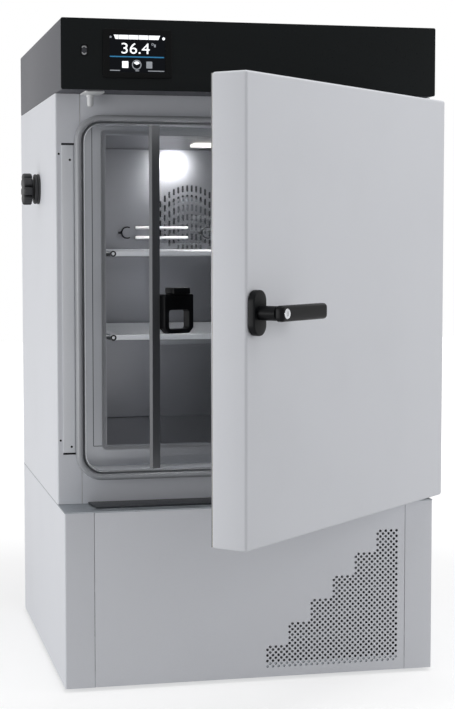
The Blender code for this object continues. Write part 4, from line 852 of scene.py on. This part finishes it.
def makePort():
    centre = (0.0, port["y"], port["z"])
    flange, bore = port["flange"], port["bore"]
    sleeve = lathe("portSleeve", [(bore, -0.3293), (bore, -0.230), (port["tube"], -0.230),
                                  (port["tube"], -0.3253), (flange - 0.001, -0.3253),
                                  (flange, -0.3262), (flange, -0.3282), (flange - 0.0012, -0.3293)],
                   centre, "X", 48, True)
    finishPiece(sleeve, blackRubber, "cabinet", "dark_rubber", "port_sleeve")
    plug = lathe("portPlug", [(0.0, -0.3556), (0.013, -0.3556), (0.0165, -0.3545), (0.0182, -0.3520),
                              (0.0182, -0.3400), (0.0170, -0.3388), (0.0170, -0.3352), (0.0260, -0.3351),
                              (0.0272, -0.3338), (0.0272, -0.3306), (0.0262, -0.3296), (0.0121, -0.3296),
                              (0.0119, -0.2930), (0.0108, -0.2900), (0.0, -0.2896)], centre, "X", 48)
    rib = block("plugRib", (-0.0105, -0.0072, -0.0082), (0.0105, 0.0072, 0.0084), 0.0034, 3)
    plug = grown(plug, ring, blackRubber,
                 {"Count": port["ribs"], "Radius": port["ribRadius"], "Piece": rib,
                  "Start": (port["ribX"], port["y"], port["z"]), "Turn": (0.0, math.radians(90), 0.0)},
                 rib)
    finishPiece(plug, blackRubber, "plug", "dark_rubber", "port_plug")


rear = {"low": (-0.060, 0.3203, 0.729), "high": (0.080, 0.3623, 0.869), "wall": 0.002,
        "slot": (0.090, 0.0044, 0.0021),
        "slots": {"columns": 1, "rows": 9, "pitches": (0.1, 0.011), "start": (0.010, 0.3623, 0.755)},
        "coverScrews": ((-0.050, 0.070), (0.739, 0.859)),
        "screwRows": (0.330, 0.985, 0.030, 0.285), "screwsAcross": (-0.305, -0.10, 0.10, 0.305),
        "sideScrews": (0.50, 0.67, 0.83)}


def makeRearCover():
    low, high, wall = Vector(rear["low"]), Vector(rear["high"]), rear["wall"]
    inside = block("coverInside", low + Vector((wall, -0.01, wall)), high - Vector((wall, wall, wall)),
                   0.004, 2)
    cover = cut(block("rearMotorCover", low, high, 0.007, 4), inside)
    cover = perforated(cover, palePaint, slotTool("coverSlot", *rear["slot"], 4, 0.006),
                       **rear["slots"])
    finishPiece(cover, palePaint, "cabinet", "grey_paint", "rear_motor_cover")


def makeBackScrews():
    y, across = backY + 0.0001, rear["screwsAcross"]
    points = [(x, y, z) for z in rear["screwRows"] for x in across]
    points += [(x, y, z) for z in rear["sideScrews"] for x in (across[0], across[-1])]
    addScrews("backScrews", points, (-90.0, 0.0, 0.0), polishedSteel, "cabinet")
    columns, rows = rear["coverScrews"]
    points = [(x, rear["high"][1] + 0.0001, z) for x in columns for z in rows]
    addScrews("coverScrews", points, (-90.0, 0.0, 0.0), polishedSteel, "cabinet", radius=0.0030)


makeCasings()
makeFrontPanel()
makeGasket()
makeKeeper()
makeDripStrip()
makeSensor()
makePort()
makeRearCover()
makeBackScrews()
print("cabinet dressed")


# chamber

baffle = {"sheet": (-0.2297, 0.4003, 0.2297, 0.9432), "front": 0.262, "back": 0.2635,
          "fanX": 0.010, "fanZ": 0.799, "slotWide": 0.0045, "slotLong": 0.0135,
          "slots": {"Columns": 16, "Rows": 8, "Column Pitch": 0.0093, "Row Pitch": 0.0195,
                    "Radius": 0.0725}}


def makeBaffle():
    sheetPlate = plate("fanBaffle", [roundedRect(*baffle["sheet"], 0.002, 3)], baffle["front"],
                       baffle["back"], "Y", 0.0003)
    wide, long = baffle["slotWide"], baffle["slotLong"]
    tool = slotTool("grilleTool", wide, long, wide * 0.49, 3, 0.004)
    sheetPlate = grown(sheetPlate, grille, brushedSteel,
                       {**baffle["slots"], "Length": long, "Cutter": tool, "Turn": upright,
                        "Start": (baffle["fanX"], baffle["front"], baffle["fanZ"])}, tool)
    finishPiece(sheetPlate, brushedSteel, "cabinet", "stainless", "fan_baffle")
    # painted shade on the walls inside the grille's slots
    shadeHoleWalls(sheetPlate, 1, darkSteel, 1e-5)
    # a black ring behind the grille's slots: painted shade for the dark inside the fan's duct
    ductShade = lathe("fanDuct", [(0.0500, 0.2680), (0.0520, 0.2670), (0.0770, 0.2670), (0.0775, 0.2640),
                             (0.0800, 0.2650), (0.0800, 0.2890), (0.0780, 0.2900), (0.0500, 0.2900)],
                 (baffle["fanX"], 0.0, baffle["fanZ"]), "Y", 48, True)
    finishPiece(ductShade, blackPlastic, "cabinet", "black_plastic")


def makeFan():
    # a thin disc with blades behind it, on the shaft
    centre = (baffle["fanX"], 0.0, baffle["fanZ"])
    wheel = lathe("circulationFan", [(0.0, 0.2676), (0.012, 0.2678), (0.044, 0.2680), (0.046, 0.2686),
                                     (0.046, 0.2692), (0.044, 0.2696), (0.010, 0.2698), (0.009, 0.2720),
                                     (0.009, 0.2950), (0.004, 0.2960), (0.004, 0.3195), (0.0, 0.3196)],
                  centre, "Y", 48)
    blade = block("fanBlade", (-0.014, -0.0008, -0.010), (0.014, 0.0008, 0.010), 0.0004, 1)
    placed(blade, Matrix.Rotation(math.radians(24), 4, "Z"))
    wheel = grown(wheel, ring, darkSteel,
                  {"Count": 14, "Radius": 0.034, "Piece": blade, "Turn": upright,
                   "Start": (centre[0], 0.2790, centre[2])}, blade)
    finishPiece(wheel, darkSteel, "circulation_fan", "black_plastic", "circulation_fan")


shelf = {"halfWide": 0.2205, "front": -0.165, "back": 0.235, "lip": 0.010, "sheet": 0.0012,
         "turnedIn": 0.008, "columns": 21, "rows": 38, "pitch": 0.0195, "rowPitch": 0.00975,
         "hole": 0.0060, "hookX": 0.2160, "hookOuter": 0.0052, "hookInner": 0.0030}


def makeShelf(name, node, body, top):
    wide, front, back, lip, thick = (shelf[k] for k in ("halfWide", "front", "back", "lip", "sheet"))
    line = [(front + 0.004, top - lip), (front, top - lip), (front, top), (back, top),
            (back, top - lip), (back - 0.004, top - lip)][::-1]
    columns, rows, pitch, rowPitch = (shelf[k] for k in ("columns", "rows", "pitch", "rowPitch"))
    start = (-(columns - 0.5) * pitch / 2.0, (front + back - (rows - 1) * rowPitch) / 2.0, top)
    tool = drill("shelfTool", shelf["hole"], -0.004, 0.004, axis="Z")
    deck = perforated(foldedSheet(name, line, thick, -wide, wide, "X", 0.0022), shelfSteel, tool,
                      columns, rows, (pitch, rowPitch), start, pitch / 2.0, turn=(0.0, 0.0, 0.0))
    # raised edges at both sides, so that what stands on it stays on
    edge, inner = top - 0.0002, wide - shelf["turnedIn"]
    sides = [foldedSheet(name + "Side", [(side * wide, top - lip), (side * wide, edge),
                                         (side * inner, edge)][::side], thick, front + 0.003,
                         back - 0.003, "Y", 0.0018) for side in (1, -1)]
    finishPiece(together(name, deck, *sides), shelfSteel, body, "stainless", node)
    outer, x = shelf["hookOuter"], shelf["hookX"]
    hooks = [plate(name + "Hook", [circle(side * x, top - outer, outer, 20),
                                   circle(side * x, top - outer, shelf["hookInner"], 16)],
                   front - 0.0030, front, "Y", 0.0005) for side in (1, -1)]
    finishPiece(together(name + "Hooks", *hooks), blackPlastic, body, "stainless")


probe = {"start": -0.1075, "end": 0.0005, "y": 0.230, "heights": (0.765, 0.785), "radius": 0.0031,
         "clips": (-0.1245, 0.040), "clipZ": 0.775, "clipInner": 0.0098, "clipOuter": 0.0122,
         "wall": 0.2619}


def makeProbes():
    start, end, y, radius = (probe[k] for k in ("start", "end", "y", "radius"))
    profile = [(0.0, start), (0.0026, start + 0.0004), (radius, start + 0.0012),
               (radius, end - 0.0025), (0.0022, end - 0.0006), (0.0, end)]
    # the rods' white is a painted reflection on their stainless steel
    rods = [lathe("probeRod", profile, (0.0, y, z), "X", 18) for z in probe["heights"]]
    finishPiece(together("probeRods", *rods), whitePlastic, "cabinet", "stainless", "probe_pair")
    wall, middle = probe["wall"], probe["clipZ"]
    stays = [block("probeStay", (x, y + 0.0028, z - 0.0012), (x + 0.0035, wall, z + 0.0012),
                   0.0005, 1) for x in (start + 0.012, end - 0.018) for z in probe["heights"]]
    clips = [plate("probeClip", [sector(x, middle, probe["clipInner"], probe["clipOuter"], 62.0,
                                        298.0, 18)], y - 0.004, y + 0.004, "Y", 0.0006)
             for x in probe["clips"]]
    stems = [block("clipStem", (x - 0.0125, y + 0.0030, middle - 0.0025),
                   (x - 0.0095, wall, middle + 0.0025), 0.0006, 1) for x in probe["clips"]]
    finishPiece(together("probeHolders", *stays, *clips, *stems), blackPlastic, "cabinet",
                "black_plastic")


seam = {"outer": 0.254, "inner": 0.2385, "low": 0.3985, "high": 0.9560, "half": 0.0006,
        "front": -0.1753, "back": -0.17495}


def makeLipSeams():
    # the joints of the lip's side strips
    front, back, low, half = (seam[k] for k in ("front", "back", "low", "half"))
    ends = {side: sorted((side * seam["inner"], side * seam["outer"])) for side in (1, -1)}
    parts = [block("lipSeam", (side * seam["outer"] - half, front, low),
                   (side * seam["outer"] + half, back, seam["high"]), 0.0) for side in ends]
    parts += [block("lipSeam", (x0, front, low - half), (x1, back, low + half), 0.0)
              for x0, x1 in ends.values()]
    finishPiece(together("lipSeams", *parts), darkSteel, "cabinet", "stainless")


makeLipSeams()
makeBaffle()
makeFan()
makeShelf("lowerShelf", "lower_shelf", "lower_shelf", 0.594)
makeShelf("upperShelf", "upper_shelf", "upper_shelf", 0.742)
makeProbes()
print("chamber dressed")


# outer door, drawn closed and turned open

door = {"low": (-0.325, -0.315, 0.310), "high": (0.325, -0.25455, 1.0033), "corner": 0.0042,
        "panel": ((-0.3235, -0.2545, 0.3115), (0.3235, -0.2530, 1.0018)),
        "pan": ((-0.252, -0.2540, 0.392), (0.252, -0.2468, 0.930))}
lever = {"x": -0.3065, "z": 0.657, "hole": 0.0074, "plate": (0.017, 0.0333, 0.0162),
         "gripX": (-0.3182, -0.1880), "gripY": (-0.3721, -0.3561), "gripHalf": 0.0117,
         "grooveX": (-0.1945, -0.1936), "lock": 0.0075}


def spindleHole():
    return drill("spindleHole", lever["hole"], -0.34, -0.24, (lever["x"], 0.0, lever["z"]), sides=24)


def makeDoor():
    skin = cut(block("doorSkin", door["low"], door["high"], door["corner"], 5), spindleHole())
    finishPiece(placed(skin, doorTurn), lightPaint, "outer_door", "white_paint", "door_skin")
    pan = block("doorPan", *door["pan"], 0.0034, 4)
    panel = cut(block("doorPanel", *door["panel"], 0.0006, 2), spindleHole())
    both = placed(together("doorInnerPanel", panel, pan), doorTurn)
    finishPiece(both, brushedSteel, "outer_door", "stainless", "door_inner_panel")


def makeHandle():
    x, z = lever["x"], lever["z"]
    centre = (x, 0.0, z)
    wide, high, radius = lever["plate"]
    base = plate("handlePlate", [roundedRect(x - wide, z - high, x + wide, z + high, radius, 12)],
                 -0.3273, -0.3153, "Y", 0.0022, 4)
    base = cut(base, spindleHole())
    finishPiece(placed(base, doorTurn), blackPlastic, "outer_door", "black_plastic", "handle_plate")
    neck = rod("leverNeck", 0.0107, -0.3276, -0.3560, centre, sides=36)
    spindle = rod("leverSpindle", 0.0064, -0.329, -0.2530, centre, sides=20)
    (x0, x1), (y0, y1), half = lever["gripX"], lever["gripY"], lever["gripHalf"]
    grip = block("leverGrip", (x0, y0, z - half), (x1, y1, z + half), 0.0060, 5)
    grip = cut(grip, rod("gripSeat", 0.0078, -0.380, -0.3640, centre, sides=32))
    x0, x1 = lever["grooveX"]
    grip = cut(grip, block("gripGroove", (x0, -0.3735, z - 0.0130), (x1, -0.3714, z + 0.0130), 0.0))
    cam = block("latchCam", (x - 0.0130, -0.2527, z - 0.008), (x + 0.0080, -0.2487, z + 0.008),
                0.0012, 2)
    both = placed(together("doorLever", neck, spindle, grip, cam), doorTurn)
    finishPiece(both, blackPlastic, "lever", "black_plastic", "door_lever")
    radius = lever["lock"]
    lock = lathe("lockCylinder", [(0.0, -0.3655), (radius, -0.3655), (radius, -0.3722),
                                  (0.0066, -0.3732), (0.0056, -0.3733), (0.0053, -0.3729),
                                  (0.0, -0.3729)], centre, "Y", 32)
    lock = cut(lock, block("keySlot", (x - 0.00075, -0.380, z - 0.0035),
                           (x + 0.00075, -0.3695, z + 0.0035), 0.0))
    finishPiece(placed(lock, doorTurn), polishedSteel, "lock", "stainless", "lock_cylinder")


glass = {"halfWide": 0.245, "front": -0.1866, "back": -0.1816, "low": 0.3885, "high": 0.946,
         "pullX": -0.2013, "pullHalf": 0.0300, "pullLow": 0.609, "pullHigh": 0.6730, "chamfer": 0.009}


def makeGlassDoor():
    pane = block("glassPane", (-glass["halfWide"], glass["front"], glass["low"]),
                 (glass["halfWide"], glass["back"], glass["high"]), 0.0009, 2)
    finishPiece(placed(pane, glassTurn), clearGlass, "glass_door", "glass", "glass_pane")
    corner = [(-0.2468, -0.1817), (-0.2468, -0.1899), (-0.2315, -0.1899), (-0.2315, -0.1868),
              (-0.2452, -0.1868), (-0.2452, -0.1817)]
    strip = plate("glassEdgeStrip", [corner], glass["low"] + 0.0004, glass["high"] - 0.0004, "Z")
    finishPiece(placed(strip, glassTurn), barSteel, "glass_door", "stainless", "glass_edge_strip")
    x, half, low, high, c = (glass[k] for k in ("pullX", "pullHalf", "pullLow", "pullHigh", "chamfer"))
    left, right, nick = x - half, x + half, 0.002
    body = [(left + nick, high), (left, high - nick), (left, low + c), (left + c, low),
            (right - c, low), (right, low + c), (right, high - nick), (right - nick, high)]
    window = roundedRect(x - 0.0205, 0.6165, x + 0.0205, 0.6475, 0.0045, 5)
    pull = plate("pullBody", [body, window], -0.2029, -0.1869, "Y", 0.0014, 3)
    cap = block("pullCap", (x - 0.0178, -0.2109, high + 0.0002), (x + 0.0172, -0.1869, 0.6840),
                0.0018, 3)
    dot = lathe("pullDot", [(0.0, -0.2036), (0.0016, -0.2034), (0.0018, -0.2020)],
                (x - 0.004, 0.0, 0.6592), "Y", 16)
    both = placed(together("glassPull", pull, cap, dot), glassTurn)
    finishPiece(both, blackPlastic, "glass_door", "black_plastic", "glass_pull")


makeDoor()
makeHandle()
makeGlassDoor()
print("doors dressed")


# control box and display

control = {"front": -0.3117, "low": 1.009, "high": 1.126, "corner": 0.0035,
           "fasciaFront": -0.315, "fasciaBack": -0.312}
display = {"bezel": (-0.2555, 1.0288, -0.1395, 1.1092), "screen": (-0.2445, 1.0382, -0.1505, 1.0998),
           "digits": (-0.2245, 1.0690, -0.1772, 1.0866), "face": -0.3169}


def glowFinish(name, colour, strength, spread=0.03):
    return makeFinish(name, colour, 0.4, grain=900.0, bump=0.03, spread=spread,
                      sockets={"Emission Color": colour, "Emission Strength": strength})


def makeControlBox():
    box = block("controlCasing", (-sideX, control["front"], control["low"]),
                (sideX, backY, control["high"]), control["corner"], 4)
    finishPiece(box, graphitePaint, "cabinet", "graphite_paint", "control_casing")
    socketHole = roundedRect(-0.2912, 1.0645, -0.2808, 1.0825, 0.0032, 5)
    screenHole = roundedRect(-0.2430, 1.0400, -0.1520, 1.0980, 0.001, 2)
    outline = roundedRect(-sideX, control["low"], sideX, control["high"], 0.0030, 4)
    fascia = plate("controlFascia", [outline, socketHole, screenHole], control["fasciaFront"],
                   control["fasciaBack"], "Y", 0.0007, 3)
    finishPiece(fascia, fasciaGloss, "cabinet", "black_panel", "control_fascia")


def insetRect(part, by, radius, steps):
    u0, v0, u1, v1 = display[part]
    return roundedRect(u0 + by, v0 + by, u1 - by, v1 - by, radius, steps)


def makeDisplay():
    bezel = plate("displayBezel", [insetRect("bezel", 0.0, 0.0045, 5),
                                   insetRect("screen", 0.0003, 0.0015, 3)],
                  -0.3173, -0.3152, "Y", 0.0006, 3)
    finishPiece(bezel, bezelGloss, "cabinet", "black_plastic", "display_bezel")
    screen = plate("displayScreen", [insetRect("screen", 0.0005, 0.0015, 3)], display["face"],
                   -0.3089, "Y", 0.0003)
    finishPiece(screen, screenGlass, "cabinet", "screen", "display_screen")


def screenPlate(name, loops):
    return plate(name, loops, display["face"] - 0.0002, display["face"] + 0.0001, "Y", 0.0)


def makeReading():
    # the temperature, as a mesh that fills its place on the screen
    text = bpy.data.curves.new("reading", "FONT")
    text.body = "36.4"
    text.extrude = 0.01
    digits = baked(linkObject("reading", text))
    low = Vector([min(v.co[i] for v in digits.data.vertices) for i in range(3)])
    high = Vector([max(v.co[i] for v in digits.data.vertices) for i in range(3)])
    u0, v0, u1, v1 = display["digits"]
    wide, tall = (u1 - u0) / (high.x - low.x), (v1 - v0) / (high.y - low.y)
    fit = (planeTurns["Y"] @ Matrix.Translation((u0, v0, display["face"] - 0.0001))
           @ Matrix.Diagonal((wide, tall, 0.01, 1.0)) @ Matrix.Translation((-low.x, -low.y, 0.0)))
    return cleaned(placed(digits, fit))


def bar(u0, v0, u1, v1):
    return [(u1, v1), (u0, v1), (u0, v0), (u1, v0)]


marks = {"header": (-0.2378, -0.2290, -0.2130, -0.1960, -0.1790, -0.1590), "lean": 0.0030,
         "gap": 0.0004, "headerTop": 1.0996, "headerLow": 1.0926, "dial": (-0.1990, 1.0510),
         "level": (-0.2439, 1.0630, -0.1528, 1.0649), "footZ": (1.0405, 1.0420),
         "feet": ((-0.2440, -0.2270), (-0.2012, -0.1950), (-0.1800, -0.1525))}


def makeScreenMarks():
    white = [makeReading()]
    # header bar in panels, wider at its top
    edges, gap, low, high = (marks[k] for k in ("header", "gap", "headerLow", "headerTop"))
    for u0, u1 in zip(edges, edges[1:]):
        lean = marks["lean"] if u0 == edges[0] else 0.0
        end = marks["lean"] if u1 == edges[-1] else 0.0
        white.append(screenPlate("headerPanel", [[(u1 - gap, high), (u0 + gap, high),
                                                  (u0 + gap + lean, low), (u1 - gap - end, low)]]))
    white += [screenPlate(name, [loop]) for name, loop in (
        ("statusDot", circle(-0.1535, 1.0948, 0.0024, 16)),
        ("wedge", sector(*marks["dial"], 0.0, 0.0056, 25.0, 150.0)),
        ("blockIcon", roundedRect(-0.2235, 1.0455, -0.2130, 1.0567, 0.0008, 2)))]
    low, high = marks["footZ"]
    grey = [screenPlate(name, [loop]) for name, loop in (
        ("menuDot", circle(-0.2425, 1.0958, 0.0018, 14)),
        ("dialRing", sector(*marks["dial"], 0.0064, 0.0080, 0.0, 359.0, 36)),
        ("blockShade", roundedRect(-0.1828, 1.0455, -0.1728, 1.0567, 0.0008, 2)),
        ("unitMark", sector(-0.1722, 1.0852, 0.0010, 0.0020, 0.0, 359.0, 20)),
        ("unitBar", bar(-0.1697, 1.0805, -0.1668, 1.0850)),
        *[("footMark", bar(u0, low, u1, high)) for u0, u1 in marks["feet"]])]
    blue = screenPlate("levelLine", [bar(*marks["level"])])
    finishPiece(together("screenWhite", *white), screenWhite, "cabinet", "screen")
    finishPiece(together("screenGrey", *grey), screenGrey, "cabinet", "screen")
    finishPiece(blue, screenBlue, "cabinet", "screen")


def makeServiceSocket():
    rim = plate("socketFrame", [roundedRect(-0.2922, 1.0635, -0.2798, 1.0835, 0.0040, 6),
                                roundedRect(-0.2905, 1.0652, -0.2815, 1.0818, 0.0028, 5)],
                -0.3158, -0.3120, "Y", 0.0005, 2)
    back = block("socketBack", (-0.2910, -0.3105, 1.0647), (-0.2810, -0.3010, 1.0823), 0.001, 2)
    finishPiece(together("serviceSocket", rim, back), bezelGloss, "cabinet", "black_plastic",
                "service_socket")
    # painted highlight: two white crescents where the socket's round ring catches the light
    glints = [plate("socketArc", [sector(-0.2860, z, 0.0026, 0.0044, start, start + 150.0, 10)],
                  -0.3135, -0.3100, "Y", 0.0003) for z, start in ((1.0765, 15.0), (1.0705, 195.0))]
    finishPiece(together("socketArcs", *glints), whitePlastic, "cabinet", "black_plastic")


bezelGloss = makeFinish("bezelGloss", tone(10, 11, 12), 0.26, grain=700.0, bump=0.06, spread=0.10,
                        sockets={"Specular IOR Level": 0.08})
screenGlass = makeFinish("screenGlass", tone(9, 11, 16), 0.12, grain=500.0, bump=0.02, spread=0.05,
                         roughSpread=0.03, sockets={"Emission Color": tone(20, 25, 34),
                                                    "Emission Strength": 0.12,
                                                    "Specular IOR Level": 0.06})
screenWhite = glowFinish("screenWhite", tone(245, 247, 250), 0.75)
screenGrey = glowFinish("screenGrey", tone(150, 154, 160), 0.35)
screenBlue = glowFinish("screenBlue", tone(30, 108, 150), 0.55)
makeControlBox()
makeDisplay()
makeScreenMarks()
makeServiceSocket()
print("control box dressed")


# machine room

coilFins, coilTubes = 60, 6


def makeCoil():
    # the condenser's fins and tubes, seen through the vent
    low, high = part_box("condenser")
    front, back = low.y + 0.002, high.y - 0.002
    core = block("condenserCoil", (low.x, front, low.z), (low.x + 0.004, back, high.z), 0.0)
    fin = block("coilFin", (-0.0003, low.y + 0.001, low.z), (0.0003, high.y - 0.001, high.z), 0.0)
    pitch = (high.x - low.x - 0.012) / (coilFins - 1)
    coil = grown(core, row, rawAluminium, {"Count": coilFins, "Piece": fin, "Step": (pitch, 0.0, 0.0),
                                           "Start": (low.x + 0.0060, 0.0, 0.0)}, fin)
    rest = [block("coilEnd", (high.x - 0.004, front, low.z), (high.x, back, high.z), 0.0)]
    rest += [rod("coilTube", 0.0045, low.x, high.x, (0.0, y, low.z + 0.02 + 0.04 * i), "X")
             for i in range(coilTubes) for y in (low.y + 0.009, high.y - 0.009)]
    finishPiece(together("condenserCoil", coil, *rest), rawAluminium, "cabinet", "aluminium",
                "condenser")


makeCoil()
print("machine room dressed")
